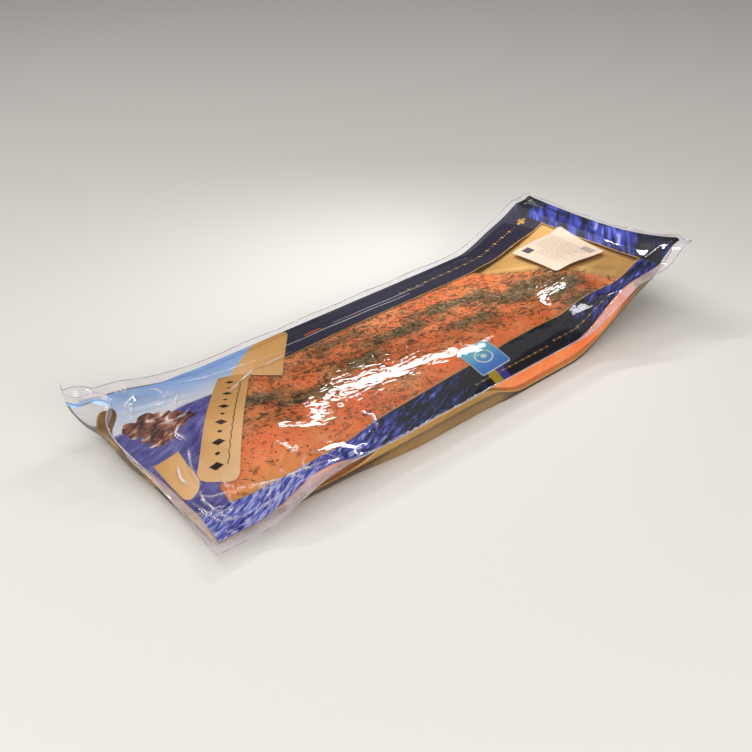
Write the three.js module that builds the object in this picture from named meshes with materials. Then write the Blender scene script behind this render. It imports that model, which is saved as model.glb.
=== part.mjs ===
// A sealed clear pack of sliced gravlax: a side of cured fish on a gold board, closed between a
// printed top film and a clear bottom film that are welded in a flat rim. A paper label lies on
// the top film. Millimetres, +Z up. +X runs along the pack from its near end to its raised end,
// +Y across it, and Z = 0 is the flat underside that it rests on.
import * as THREE from 'three';

// Film, as it lies: the cut edge of the rim, seen from above.
const LEFT_EDGE = -288;
const RIGHT_EDGE = 292;
const HALF_WIDTH = 110;
const SIDE_RIM = 12;
const END_RIM = 9;
const FILM = 0.8;

// Shapes along the edges are a base value plus steps and hills. A step goes from 0 at `from` to
// `rise` at `to`, and a hill stands `rise` high at `middle`.
// Height of the near long cut edge above the table.
const NEAR_EDGE_HEIGHT = 28;
const NEAR_RIGHT_LIFT = { from: 130, to: 215, rise: 30 };
const NEAR_LEFT_DROP = { from: -185, to: -255, rise: -19 };
const NEAR_WAVE = { middle: -172, reach: 22, rise: 3 };

// Height of the far long cut edge.
const FAR_EDGE_HEIGHT = 22;
const FAR_RIGHT_LIFT = { from: 170, to: 240, rise: 20 };
const FAR_TIP_LIFT = { from: 262, to: 292, rise: 23 };
const FAR_LEFT_LIFT = { from: -170, to: -260, rise: 13 };
const FAR_CURL = { from: -275, to: -300, rise: 14 };

// Upward tilt of the rims, in degrees.
const NEAR_TILT = { from: -205, to: -130, rise: 42 };
const NEAR_TILT_END = { from: 120, to: 200, rise: -0.75 };
const FAR_TILT = 8;
const FAR_TILT_CURL = { from: -268, to: -298, rise: 70 };
const LEFT_TILT = { from: -70, to: 60, rise: 85 };

// Left cut edge: its place along Y, and its height, which climbs towards the far corner.
const LEFT_CORNER_FLARE = { from: -60, to: -110, rise: -7 };
const LEFT_BOW = { middle: 74, reach: 16, rise: 13 };
const LEFT_TIP_FLARE = { from: 78, to: 92, rise: -14 };
const LEFT_END_HEIGHT = 10;
const LEFT_CLIMB = { from: -50, to: 100, rise: 50, power: 1.3 };
const LEFT_TIP_DROP = { from: 84, to: 98, rise: -12 };

// Fish under the film: how far it lifts the film above the welded rim, and where its ridge runs.
const TAIL_BULGE = 8;
const FISH_BULGE = { from: -150, to: 20, rise: 7 };
const RIGHT_FADE = { from: 150, to: 235, rise: -0.9 };
const LEFT_FADE = { from: -215, to: -262, rise: -0.8 };
const RIDGE = 5;
const RIDGE_SHIFT = { from: -150, to: 50, rise: -30 };
const NEAR_POWER = 3;
const NEAR_POWER_DROP = { from: 0, to: -150, rise: -1.2 };
const FAR_POWER = 1.9;

// Hollows of the film inside the near rim, beside the two ends of the fish.
const HOLLOW_LINE = { middle: -72, reach: 22, rise: 1 };
const LEFT_HOLLOW = { middle: -200, reach: 45, rise: -9 };
const RIGHT_HOLLOW = { middle: 205, reach: 30, rise: -11 };

// Film at the two end rims. The raised near-right corner dies away along the end.
const LEFT_END_BLEND = { from: -225, to: -279, rise: 1 };
const RIGHT_END_BLEND = { from: 250, to: 283, rise: 1 };
const RIGHT_CORNER = { from: -112, to: -94, rise: 21, reach: 70 };
const RIGHT_SAG = 5;

// Board that carries the fish. Its right end bends up with the film, and its left end warps up.
const BOARD_LEFT = -281;
const BOARD_RIGHT = 265;
const BOARD_HALF_WIDTH = 100;
const BOARD_CORNER = 12;
const BOARD_BEND = { from: 120, rise: 54, power: 1.5 };
const BOARD_WARP = { from: -150, to: -280, rise: 1 };
const NEAR_CORNER_LIFT = 4;
const FAR_CORNER_LIFT = 17;
const FILM_OVER_BOARD = 3;
const BLEND = 4;

// Paper label on the raised end: the middle, the size, and the turn about Z in degrees.
const LABEL = { x: 220, y: 4, length: 65, width: 73, turn: -10, corner: 4 };
const LABEL_THICKNESS = 0.4;
const LABEL_GAP = 0.35;
const LABEL_STEPS = 12;

const COLUMN_STEP = 8.2;
const ROW_STEP = 8.4;
const WALL_STEP = 3;

const degrees = (angle) => (angle * Math.PI) / 180;
const mix = (from, to, share) => from + (to - from) * share;
const clamp = (value, low, high) => Math.min(Math.max(value, low), high);

// A smooth step from 0 at `from` to `rise` at `to`.
function step(value, { from, to, rise }) {
  const share = clamp((value - from) / (to - from), 0, 1);
  return rise * share * share * (3 - 2 * share);
}

// A smooth hill of height `rise` about `middle`.
function hill(value, { middle, reach, rise }) {
  return rise * Math.exp(-(((value - middle) / reach) ** 2));
}

// Height of the near long cut edge. It lies low at the left end, and climbs at the right end.
function nearEdgeHeight(x) {
  return NEAR_EDGE_HEIGHT + step(x, NEAR_RIGHT_LIFT) + step(x, NEAR_LEFT_DROP) + hill(x, NEAR_WAVE);
}

// Height of the far long cut edge, which is pulled up at both ends.
function farEdgeHeight(x) {
  const raised = step(x, FAR_RIGHT_LIFT) + step(x, FAR_TIP_LIFT);
  return FAR_EDGE_HEIGHT + raised + step(x, FAR_LEFT_LIFT) + step(x, FAR_CURL);
}

// The near rim stands up in mid-length and lies flatter at both ends.
function nearTilt(x) {
  return degrees(step(x, NEAR_TILT) * (1 + step(x, NEAR_TILT_END)));
}

function farTilt(x) {
  return degrees(FAR_TILT + step(x, FAR_TILT_CURL));
}

// The left end rim lies flat at the near corner and stands upright at the far corner.
function leftTilt(y) {
  return degrees(step(y, LEFT_TILT));
}

// Left cut edge from above: it bows in beside the far corner and then flares out to a tip.
function leftEdge(y) {
  return LEFT_EDGE + step(y, LEFT_CORNER_FLARE) + hill(y, LEFT_BOW) + step(y, LEFT_TIP_FLARE);
}

function leftEdgeHeight(y) {
  const share = clamp((y - LEFT_CLIMB.from) / (LEFT_CLIMB.to - LEFT_CLIMB.from), 0, 1);
  return LEFT_END_HEIGHT + LEFT_CLIMB.rise * share ** LEFT_CLIMB.power + step(y, LEFT_TIP_DROP);
}

// The seal lines are where the welded rim ends and the two films part.
function nearSeal(x) {
  const tilt = nearTilt(x);
  const y = -HALF_WIDTH + SIDE_RIM * Math.cos(tilt);
  return { y, z: nearEdgeHeight(x) - SIDE_RIM * Math.sin(tilt) };
}

function farSeal(x) {
  const tilt = farTilt(x);
  const y = HALF_WIDTH - SIDE_RIM * Math.cos(tilt);
  return { y, z: farEdgeHeight(x) - SIDE_RIM * Math.sin(tilt) };
}

function leftSeal(y) {
  return leftEdge(y) + END_RIM * Math.cos(leftTilt(y));
}

// Height of the top film at a point between the seal lines.
function topHeight(x, y) {
  const near = nearSeal(x);
  const far = farSeal(x);
  const share = (y - near.y) / (far.y - near.y);
  const chord = mix(near.z, far.z, share);

  // The fish lifts the film in a dome, with its ridge off the middle.
  const ridge = RIDGE + step(x, RIDGE_SHIFT);
  const side = y < ridge ? (ridge - y) / (ridge - near.y) : (y - ridge) / (far.y - ridge);
  const power = y < ridge ? NEAR_POWER + step(x, NEAR_POWER_DROP) : FAR_POWER;
  const bulge = TAIL_BULGE + step(x, FISH_BULGE);
  const fade = (1 + step(x, RIGHT_FADE)) * (1 + step(x, LEFT_FADE));
  const dome = bulge * fade * (1 - clamp(side, 0, 1) ** power);

  // The film sinks inside the near rim at both ends of the fish, and follows the end rims.
  const hollow = (hill(x, LEFT_HOLLOW) + hill(x, RIGHT_HOLLOW)) * hill(y, HOLLOW_LINE);
  const leftTarget = leftEdgeHeight(y) - END_RIM * Math.sin(leftTilt(y));
  const inCorner = Math.max(y - RIGHT_CORNER.to, 0) / RIGHT_CORNER.reach;
  const corner = step(y, RIGHT_CORNER) * Math.exp(-inCorner);
  const sag = RIGHT_SAG * (1 - (y / HALF_WIDTH) ** 2);
  const rightEnd = (corner - sag) * step(x, RIGHT_END_BLEND);
  const free = mix(chord, leftTarget, step(x, LEFT_END_BLEND)) + dome + hollow + rightEnd;

  // The bent end of the board carries the film where the film would sink below it.
  const carried = boardRise(x) + FILM_OVER_BOARD;
  return (free + carried + Math.hypot(free - carried, BLEND)) / 2;
}

// Rise of the board's right end, which bends up from the flat middle.
function boardRise(x) {
  const bend = clamp(x, BOARD_BEND.from, BOARD_RIGHT) - BOARD_BEND.from;
  const share = bend / (BOARD_RIGHT - BOARD_BEND.from);
  return BOARD_BEND.rise * share ** BOARD_BEND.power;
}

// Height of the underside. It is flat along the middle, and its left end is pulled up a little.
function bottomHeight(x, y) {
  const across = (y + BOARD_HALF_WIDTH) / (2 * BOARD_HALF_WIDTH);
  const warp = mix(NEAR_CORNER_LIFT, FAR_CORNER_LIFT, across);
  return boardRise(x) + warp * step(x, BOARD_WARP);
}

// Grid lines: one list per direction, as { seal, rim } with seal between 0 and 1 from one seal
// line to the other, and rim the distance out over the welded rim, negative at the first end.
function gridLines(span, step, rim) {
  const inner = span - 2 * WALL_STEP;
  const count = Math.round(inner / step);
  const lines = [
    { seal: 0, rim: -rim },
    { seal: 0, rim: 0 },
  ];
  for (let index = 0; index <= count; index += 1) {
    lines.push({ seal: (WALL_STEP + (inner * index) / count) / span, rim: 0 });
  }
  lines.push({ seal: 1, rim: 0 });
  lines.push({ seal: 1, rim });
  return lines;
}

const rightSeal = RIGHT_EDGE - END_RIM;
const columns = gridLines(rightSeal - LEFT_EDGE - END_RIM, COLUMN_STEP, END_RIM);
const rows = gridLines(2 * (HALF_WIDTH - SIDE_RIM), ROW_STEP, SIDE_RIM);

// A point of the top film. On the rims it leaves the seal line along the rim's own slope.
function topPoint(column, row) {
  const nominalY = mix(SIDE_RIM - HALF_WIDTH, HALF_WIDTH - SIDE_RIM, row.seal);
  const x = mix(leftSeal(nominalY), rightSeal, column.seal);
  const y = mix(nearSeal(x).y, farSeal(x).y, row.seal);
  const point = new THREE.Vector3(x, y, topHeight(x, y));
  const sideTilt = row.rim < 0 ? nearTilt(x) : farTilt(x);
  point.y += row.rim * Math.cos(sideTilt);
  point.z += Math.abs(row.rim) * Math.sin(sideTilt);
  const endTilt = column.rim < 0 ? leftTilt(nominalY) : 0;
  point.x += column.rim * Math.cos(endTilt);
  point.z += Math.abs(column.rim) * Math.sin(endTilt);
  return point;
}

// Moves a point of a square corner onto the rounded corner of the board.
function roundCorner(point) {
  const overX = BOARD_LEFT + BOARD_CORNER - point.x;
  const overY = Math.abs(point.y) - (BOARD_HALF_WIDTH - BOARD_CORNER);
  if (overX <= 0 || overY <= 0) return;
  const pull = Math.max(overX, overY) / Math.hypot(overX, overY);
  point.x += overX * (1 - pull);
  point.y -= Math.sign(point.y) * overY * (1 - pull);
}

// A point of the underside between the seal lines: below the board, and then below the film
// that runs on from the board's right end to the rim.
function bottomPoint(column, row) {
  const x = mix(BOARD_LEFT, rightSeal, column.seal);
  const y = mix(-BOARD_HALF_WIDTH, BOARD_HALF_WIDTH, row.seal);
  const point = new THREE.Vector3(x, y, 0);
  roundCorner(point);
  const sealed = topHeight(rightSeal, point.y) - FILM;
  const pastBoard = Math.max(point.x - BOARD_RIGHT, 0) / (rightSeal - BOARD_RIGHT);
  point.z = mix(bottomHeight(point.x, point.y), sealed, pastBoard);
  return point;
}

// Normal of a grid of points at one corner, from its neighbours along both directions.
function gridNormal(grid, i, j) {
  const alongX = grid[Math.min(i + 1, grid.length - 1)][j].clone();
  alongX.sub(grid[Math.max(i - 1, 0)][j]);
  const alongY = grid[i][Math.min(j + 1, grid[i].length - 1)].clone();
  alongY.sub(grid[i][Math.max(j - 1, 0)]);
  return alongX.cross(alongY).normalize();
}

// One closed body between two grids of the same size: both faces and the strip round the edge.
function closedBody(upper, lower) {
  const width = upper.length;
  const depth = upper[0].length;
  const corners = [...upper.flat(), ...lower.flat()].flatMap((point) => point.toArray());
  const faces = [];
  const top = (i, j) => i * depth + j;
  const bottom = (i, j) => (width + i) * depth + j;
  const quad = (a, b, c, d) => faces.push(a, b, c, a, c, d);
  for (let i = 0; i < width - 1; i += 1) {
    for (let j = 0; j < depth - 1; j += 1) {
      quad(top(i, j), top(i + 1, j), top(i + 1, j + 1), top(i, j + 1));
      quad(bottom(i, j), bottom(i, j + 1), bottom(i + 1, j + 1), bottom(i + 1, j));
    }
    quad(top(i, 0), bottom(i, 0), bottom(i + 1, 0), top(i + 1, 0));
    quad(top(i + 1, depth - 1), bottom(i + 1, depth - 1), bottom(i, depth - 1), top(i, depth - 1));
  }
  for (let j = 0; j < depth - 1; j += 1) {
    quad(top(0, j + 1), bottom(0, j + 1), bottom(0, j), top(0, j));
    quad(top(width - 1, j), bottom(width - 1, j), bottom(width - 1, j + 1), top(width - 1, j + 1));
  }
  const geometry = new THREE.BufferGeometry();
  geometry.setAttribute('position', new THREE.Float32BufferAttribute(corners, 3));
  geometry.setIndex(faces);
  geometry.computeVertexNormals();
  return geometry;
}

// The sealed pack: one solid from the top film to the underside, with its thin rim.
function packGeometry() {
  const upper = columns.map((column) => rows.map((row) => topPoint(column, row)));
  const isRim = (line, index, lines) => index < 2 || index > lines.length - 3;
  const lower = upper.map((line, i) =>
    line.map((point, j) => {
      if (!isRim(line, i, upper) && !isRim(point, j, line)) return bottomPoint(columns[i], rows[j]);
      return point.clone().addScaledVector(gridNormal(upper, i, j), -FILM);
    }),
  );
  return closedBody(upper, lower);
}

// How far a coordinate reaches past the start of the label's rounded corner.
function pastCorner(value, size) {
  return Math.max(Math.abs(value) - size / 2 + LABEL.corner, 0);
}

// The label follows the film at a small gap, with rounded corners.
function labelGeometry() {
  const turn = degrees(LABEL.turn);
  const place = (i, j) => {
    const u = ((i / LABEL_STEPS) * 2 - 1) * (LABEL.length / 2);
    const v = ((j / LABEL_STEPS) * 2 - 1) * (LABEL.width / 2);
    const overU = pastCorner(u, LABEL.length);
    const overV = pastCorner(v, LABEL.width);
    const reach = Math.hypot(overU, overV);
    const pull = reach > 0 ? Math.max(overU, overV) / reach : 1;
    const flatU = u - Math.sign(u) * overU * (1 - pull);
    const flatV = v - Math.sign(v) * overV * (1 - pull);
    const x = LABEL.x + flatU * Math.cos(turn) - flatV * Math.sin(turn);
    const y = LABEL.y + flatU * Math.sin(turn) + flatV * Math.cos(turn);
    return new THREE.Vector3(x, y, topHeight(x, y));
  };
  const indices = Array.from({ length: LABEL_STEPS + 1 }, (_, index) => index);
  const film = indices.map((i) => indices.map((j) => place(i, j)));
  const raised = (height) =>
    film.map((line, i) =>
      line.map((point, j) => point.clone().addScaledVector(gridNormal(film, i, j), height)),
    );
  return closedBody(raised(LABEL_GAP + LABEL_THICKNESS), raised(LABEL_GAP));
}

function named(name, geometry, color, roughness) {
  const material = new THREE.MeshStandardMaterial({ color, roughness, metalness: 0 });
  const mesh = new THREE.Mesh(geometry, material);
  mesh.name = name;
  return mesh;
}

const group = new THREE.Group();
group.add(named('sealed_pack', packGeometry(), 0xd9683a, 0.25));
group.add(named('paper_label', labelGeometry(), 0xf2ede4, 0.7));

// The origin goes to the middle of the outline, on the table.
const outline = new THREE.Box3().setFromObject(group).getCenter(new THREE.Vector3());
group.position.set(-outline.x, -outline.y, 0);

export default group;
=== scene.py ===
"""A clear sealed pack of sliced gravlax: the cured fish and its dill on a gold board, the printed
top film with its window, the clear bottom film, the welded rim and the paper label.

Shapes are worked out in millimetres in the pack's own drawing frame, +X along the pack towards
its raised end and +Y across it, and go into the meshes in metres in the frame's axes.
"""
from itertools import combinations

import bpy
import numpy as np
from mathutils import Matrix


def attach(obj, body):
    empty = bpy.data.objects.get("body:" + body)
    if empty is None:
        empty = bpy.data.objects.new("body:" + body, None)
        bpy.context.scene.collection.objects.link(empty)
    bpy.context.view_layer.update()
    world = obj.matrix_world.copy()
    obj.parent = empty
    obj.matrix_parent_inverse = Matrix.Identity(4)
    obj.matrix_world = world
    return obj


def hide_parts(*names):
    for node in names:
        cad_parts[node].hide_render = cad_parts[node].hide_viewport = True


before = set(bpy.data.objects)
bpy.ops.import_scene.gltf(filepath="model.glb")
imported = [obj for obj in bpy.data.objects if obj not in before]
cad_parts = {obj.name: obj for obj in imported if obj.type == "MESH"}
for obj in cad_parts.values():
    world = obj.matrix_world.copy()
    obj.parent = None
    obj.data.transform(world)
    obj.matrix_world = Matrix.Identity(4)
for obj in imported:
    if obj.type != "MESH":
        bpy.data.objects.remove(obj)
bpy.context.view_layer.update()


# ---------------------------------------------------------------------------------------------
# Gold board. A stiff card with a satin gold face that carries the fish. Its long edges are bent
# up by the tight film, its right end bends up with the pack, and its left corners are rounded.
BOARD_LEFT, BOARD_RIGHT, BOARD_HALF_WIDTH = -284.0, 264.0, 97.5
BOARD_CORNER = 9.0
BOARD_THICKNESS = 1.1
BOARD_FLOAT = 0.5
BEND_START, BEND_RISE, BEND_POWER = 120.0, 54.0, 1.5
WARP = (-150.0, -280.0, 1.0)
NEAR_CORNER_LIFT, FAR_CORNER_LIFT = 4.0, 12.0
LIP_WIDTH = 9.0
NEAR_LIP, NEAR_LIP_DROP = 18.0, (-10.0, 50.0, -16.8)
FAR_LIP, FAR_LIP_DROP = 9.0, (60.0, 150.0, -9.0)
NEAR_TUCK = 4.5
NEAR_BULGE = [(-165.0, -75.0, 9.0), (-10.0, 40.0, 3.0), (110.0, 225.0, -9.0)]
BOW_RISE, BOW_END, BOW_REACH, BOW_WIDTH, BOW_CAP = 22.0, 252.0, 62.0, 105.0, 1.25
BOW_LEAN, BOW_START, BOW_NEAR = 0.6, (165.0, 190.0, 1.0), (-88.0, -62.0, 1.0)
BOARD_STEP, EDGE_CROWDING = 2.2, 0.6
LIP_POWER = 2.2
DRAWING_MIDDLE = np.array([-4.713, 0.123, 0.0])
GOLD_LIGHT, GOLD_DARK = (222, 178, 100), (196, 150, 78)


def step(value, start, end, rise):
    """A smooth step from 0 at start to rise at end."""
    share = np.clip((value - start) / (end - start), 0.0, 1.0)
    return rise * share * share * (3.0 - 2.0 * share)


def hill(value, middle, reach, rise):
    """A smooth hill of height rise about middle."""
    return rise * np.exp(-(((value - middle) / reach) ** 2))


def mix(a, b, share):
    """a at share 0 and b at share 1."""
    return a + (b - a) * share


def board_rise(x):
    """The bent end: rise times the power of the way along the bend."""
    share = (np.clip(x, BEND_START, BOARD_RIGHT) - BEND_START) / (BOARD_RIGHT - BEND_START)
    return BEND_RISE * share**BEND_POWER


def underside(x, y):
    """Height of the pack's flat underside: the bend at one end and the warped corners at the other."""
    across = np.clip((y + 100.0) / 200.0, 0.0, 1.0)
    return board_rise(x) + mix(NEAR_CORNER_LIFT, FAR_CORNER_LIFT, across) * step(x, *WARP)


def near_bulge(x):
    """How far the near side of the pack swells out past its straight foot."""
    return sum(step(x, *part) for part in NEAR_BULGE)


def card_bow(x, y):
    """Past the fish's slanting cut the film draws the card up: a wedge that falls to nothing at
    the card's right end and towards its far edge."""
    wedge = np.clip((BOW_END - x) / BOW_REACH, 0.0, None) * np.clip(1 - y / BOW_WIDTH, 0.0, BOW_CAP)
    return BOW_RISE * wedge * step(x + BOW_LEAN * y, *BOW_START) * step(y, *BOW_NEAR)


def board_face(x, y):
    """Height of the gold face: the underside, the card, its bow and a lip at the long edges."""
    lip = np.where(y < 0, NEAR_LIP + step(x, *NEAR_LIP_DROP), FAR_LIP + step(x, *FAR_LIP_DROP))
    past = np.clip((np.abs(y) - BOARD_HALF_WIDTH + LIP_WIDTH) / LIP_WIDTH, 0.0, 1.0)
    return underside(x, y) + BOARD_FLOAT + BOARD_THICKNESS + lip * past**LIP_POWER + card_bow(x, y)


def corner_pull(over_x, over_y):
    """The share of its reach that a point past both sides of a square corner keeps on a round one:
    the longer of its two reaches over the slanting reach."""
    pull = np.maximum(over_x, over_y) / np.maximum(np.hypot(over_x, over_y), 1e-6)
    return np.where((over_x > 0) & (over_y > 0), pull, 1.0)


def rounded_corners(x, y, left, half_width, radius):
    """Pulls the points of a square left end onto rounded corners, ring by ring."""
    over_x = np.maximum(left + radius - x, 0.0)
    over_y = np.maximum(np.abs(y) - half_width + radius, 0.0)
    pull = corner_pull(over_x, over_y)
    return x + over_x * (1 - pull), y - np.sign(y) * over_y * (1 - pull)


def unit(vectors):
    """The vectors along the last axis, each divided by its length."""
    return vectors / np.maximum(np.linalg.norm(vectors, axis=-1, keepdims=True), 1e-9)


def grid_normals(grid):
    """Unit normals of a grid of points, from its central differences along both ways."""
    return unit(np.cross(np.gradient(grid, axis=0), np.gradient(grid, axis=1)))


def grid_of(first, second):
    """Two plan grids from the values along the first and the second way."""
    return np.meshgrid(first, second, indexing="ij")


def border_of(grid):
    """The values once round a grid's border, back to the first one."""
    return np.concatenate([grid[:-1, 0], grid[-1, :-1], grid[:0:-1, -1], grid[0, ::-1]])


def piece_from_grids(name, grids, material, masks=None, replaces=(), slot="film_and_contents"):
    """One mesh from grids of points. Each quad runs along the first and then the second way, points
    that coincide are merged, and each mask becomes a point attribute of the same name."""
    points = np.concatenate([grid.reshape(-1, 3) for grid in grids])
    quads, start = [], 0
    for grid in grids:
        rows, columns = grid.shape[:2]
        index = start + np.arange(rows * columns).reshape(rows, columns)
        corners = [index[:-1, :-1], index[1:, :-1], index[1:, 1:], index[:-1, 1:]]
        quads.append(np.stack(corners, axis=2).reshape(-1, 4))
        start += rows * columns
    quads = np.concatenate(quads)
    rounded = np.round(points, 3)
    _, first, merged = np.unique(rounded, axis=0, return_index=True, return_inverse=True)
    faces = [[*dict.fromkeys(face)] for face in merged.reshape(-1)[quads].tolist()]
    faces = [face for face in faces if len(face) > 2]
    values = {}
    for key, parts in (masks or {}).items():
        values[key] = np.concatenate([part.ravel() for part in parts])[first]
    return piece_from_faces(name, points[first], faces, material, values, replaces)


def piece_from_faces(name, points, faces, material, masks=None, replaces=()):
    """A smooth mesh piece from points in millimetres of the drawing frame and its faces."""
    mesh = bpy.data.meshes.new(name)
    mesh.from_pydata(((points - DRAWING_MIDDLE) / 1000.0).tolist(), [], faces)
    mesh.polygons.foreach_set("use_smooth", np.ones(len(mesh.polygons), dtype=bool))
    for key, values in (masks or {}).items():
        attribute = mesh.attributes.new(key, "FLOAT", "POINT")
        attribute.data.foreach_set("value", np.asarray(values, dtype=np.float32))
    mesh.update()
    piece = bpy.data.objects.new(name, mesh)
    bpy.context.scene.collection.objects.link(piece)
    mesh.materials.append(material)
    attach(piece, "root")
    for node_name in replaces:
        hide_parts(node_name)
    return piece


def shell_grids(upper, lower):
    """The grids of a closed body between two grids of one size: both faces and the strip between."""
    side = np.stack([border_of(upper), border_of(lower)], axis=1)
    return [upper, lower.transpose(1, 0, 2), side[::-1]]


def paint(red, green, blue):
    """A linear colour from the 0 to 255 values that the eye reads it as."""
    value = np.array([red, green, blue]) / 255.0
    linear = np.where(value <= 0.04045, value / 12.92, ((value + 0.055) / 1.055) ** 2.4)
    return (*linear, 1.0)


def start_material(name):
    """A node material with its tree and its Principled shader."""
    material = bpy.data.materials.new(name)
    material.use_nodes = True
    return material, material.node_tree, material.node_tree.nodes["Principled BSDF"]


def feed(tree, node, inputs):
    """Fills a node's inputs: a socket is linked, and anything else is set as a value."""
    for key, value in inputs.items():
        if isinstance(value, bpy.types.NodeSocket):
            tree.links.new(value, node.inputs[key])
        else:
            node.inputs[key].default_value = value
    return node


def add(tree, kind, inputs=None, **settings):
    """A new node with its settings and its inputs."""
    made = tree.nodes.new(kind)
    for key, value in settings.items():
        setattr(made, key, value)
    return feed(tree, made, inputs or {})


def maths(tree, operation, *values):
    """The result of a Math node over values and sockets."""
    return add(tree, "ShaderNodeMath", dict(enumerate(values)), operation=operation).outputs[0]


def ranged(tree, value, low, high, to_low=0.0, to_high=1.0):
    """A value mapped from the range low to high onto to_low to to_high, and kept inside it."""
    inputs = {"Value": value, "From Min": low, "From Max": high, "To Min": to_low, "To Max": to_high}
    return add(tree, "ShaderNodeMapRange", inputs).outputs["Result"]


def object_coordinates(tree, scale=(1, 1, 1), turn=0.0):
    """Object coordinates along axes turned about Z, in degrees, and then scaled along them."""
    source = add(tree, "ShaderNodeTexCoord").outputs["Object"]
    inputs = {"Vector": source, "Rotation": (0, 0, np.radians(turn)), "Scale": [1.0 / part for part in scale]}
    return add(tree, "ShaderNodeMapping", inputs, vector_type="TEXTURE").outputs["Vector"]


def noise(tree, vector, scale, detail=3.0, roughness=0.5, distortion=0.0):
    """The value of a noise texture."""
    inputs = {"Vector": vector, "Scale": scale, "Detail": detail}
    inputs.update({"Roughness": roughness, "Distortion": distortion})
    return add(tree, "ShaderNodeTexNoise", inputs).outputs["Fac"]


def colour_ramp(tree, factor, stops):
    """A colour ramp over factor with stops as (place, 0 to 255 colour)."""
    made = add(tree, "ShaderNodeValToRGB", {"Fac": factor})
    elements = made.color_ramp.elements
    while len(elements) < len(stops):
        elements.new(0.5)
    for element, (place, colour) in zip(elements, stops):
        element.position = place
        element.color = paint(*colour)
    return made.outputs["Color"]


def mask(tree, name):
    """A point attribute of the piece, as a value."""
    return add(tree, "ShaderNodeAttribute", attribute_name=name).outputs["Fac"]


def mix_colour(tree, factor, a, b):
    """Two colours mixed by factor. The Mix node's colour sockets are inputs 6 and 7 and output 2."""
    return add(tree, "ShaderNodeMix", {0: factor, 6: a, 7: b}, data_type="RGBA").outputs[2]


def bump(tree, height, strength, distance):
    """The normal of a Bump node over height."""
    inputs = {"Height": height, "Strength": strength, "Distance": distance}
    return add(tree, "ShaderNodeBump", inputs).outputs["Normal"]


def new_group(name, inputs, outputs):
    """A shader node group with named sockets, each given as (name, socket type)."""
    group = bpy.data.node_groups.new(name, "ShaderNodeTree")
    for way, sockets in (("INPUT", inputs), ("OUTPUT", outputs)):
        for socket, kind in sockets:
            group.interface.new_socket(name=socket, in_out=way, socket_type=kind)
    return group, group.nodes.new("NodeGroupInput"), group.nodes.new("NodeGroupOutput")


def grain_group():
    """Fine grain for card and paper: small flecks over broad, faint clouds, as one height."""
    group, start, end = new_group(
        "fine_grain",
        [("Vector", "NodeSocketVector"), ("Scale", "NodeSocketFloat")],
        [("Height", "NodeSocketFloat"), ("Clouds", "NodeSocketFloat")],
    )
    fine = noise(group, start.outputs["Vector"], start.outputs["Scale"], 4.0, 0.6)
    clouds = noise(group, start.outputs["Vector"], 14.0, 3.0, 0.5)
    feed(group, end, {"Height": fine, "Clouds": clouds})
    return group


fine_grain = grain_group()


def grained(tree, scale):
    """The height and the clouds of the fine grain, on the piece's own coordinates."""
    inputs = {"Vector": object_coordinates(tree), "Scale": scale}
    made = add(tree, "ShaderNodeGroup", inputs, node_tree=fine_grain)
    return made.outputs["Height"], made.outputs["Clouds"]


def gold_material():
    """Satin gold card: cloudy colour, fine grain and smears of oil from the fish."""
    material, tree, shader = start_material("satin_gold_card")
    grain, clouds = grained(tree, 900.0)
    finish = {
        "Base Color": colour_ramp(tree, clouds, [(0.35, GOLD_DARK), (0.65, GOLD_LIGHT)]),
        "Roughness": ranged(tree, clouds, 0.0, 1.0, 0.42, 0.62),
        "Metallic": 0.12,
        "Normal": bump(tree, grain, 0.25, 0.0002),
    }
    feed(tree, shader, finish)
    return material


def spread(start, end, spacing, ends=0.0):
    """Evenly spaced values, drawn closer together towards both ends by the share ends."""
    count = int(np.ceil(abs(end - start) / spacing)) + 1
    share = np.linspace(0.0, 1.0, count)
    share = mix(share, 0.5 - 0.5 * np.cos(np.pi * share), ends)
    return start + (end - start) * share


board_x, board_y = grid_of(
    spread(BOARD_LEFT, BOARD_RIGHT, BOARD_STEP),
    spread(-BOARD_HALF_WIDTH, BOARD_HALF_WIDTH, BOARD_STEP, EDGE_CROWDING),
)
board_x, board_y = rounded_corners(board_x, board_y, BOARD_LEFT, BOARD_HALF_WIDTH, BOARD_CORNER)
near_share = np.clip(-board_y / BOARD_HALF_WIDTH, 0.0, 1.0)
board_y = board_y - (near_bulge(board_x) - NEAR_TUCK) * near_share**3
board_top = np.stack([board_x, board_y, board_face(board_x, board_y)], axis=2)
board_under = board_top - BOARD_THICKNESS * grid_normals(board_top)
board_grids = shell_grids(board_top, board_under)
piece_from_grids("gold_board", board_grids, gold_material(), replaces=["sealed_pack"])


# ---------------------------------------------------------------------------------------------
# Gravlax. One side of cured salmon, sliced and kept whole, tight under the film. Its near edge
# bulges towards the right, and its right end is cut off slantwise with a pale line of fat.
LEFT_EDGE, RIGHT_EDGE, HALF_WIDTH = -288.0, 292.0, 110.0
SIDE_RIM, END_RIM = 12.0, 9.0
NEAR_EDGE_HEIGHT, FAR_EDGE_HEIGHT, LEFT_END_HEIGHT = 28.0, 22.0, 10.0
NEAR_RIGHT_LIFT, NEAR_LEFT_DROP = (130.0, 215.0, 30.0), (-185.0, -255.0, -19.0)
NEAR_WAVE = (-172.0, 22.0, 3.0)
FAR_RIGHT_LIFT, FAR_TIP_LIFT = (170.0, 240.0, 20.0), (262.0, 292.0, 23.0)
FAR_LEFT_LIFT, FAR_CURL = (-170.0, -260.0, 13.0), (-275.0, -300.0, 14.0)
NEAR_TILT, NEAR_TILT_END = (-205.0, -130.0, 42.0), (120.0, 200.0, -0.75)
FAR_TILT, FAR_TILT_CURL = 8.0, (-268.0, -298.0, 70.0)
LEFT_TILT = (-70.0, 60.0, 85.0)
LEFT_CORNER_FLARE, LEFT_TIP_FLARE = (-60.0, -110.0, -7.0), (78.0, 92.0, -14.0)
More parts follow.
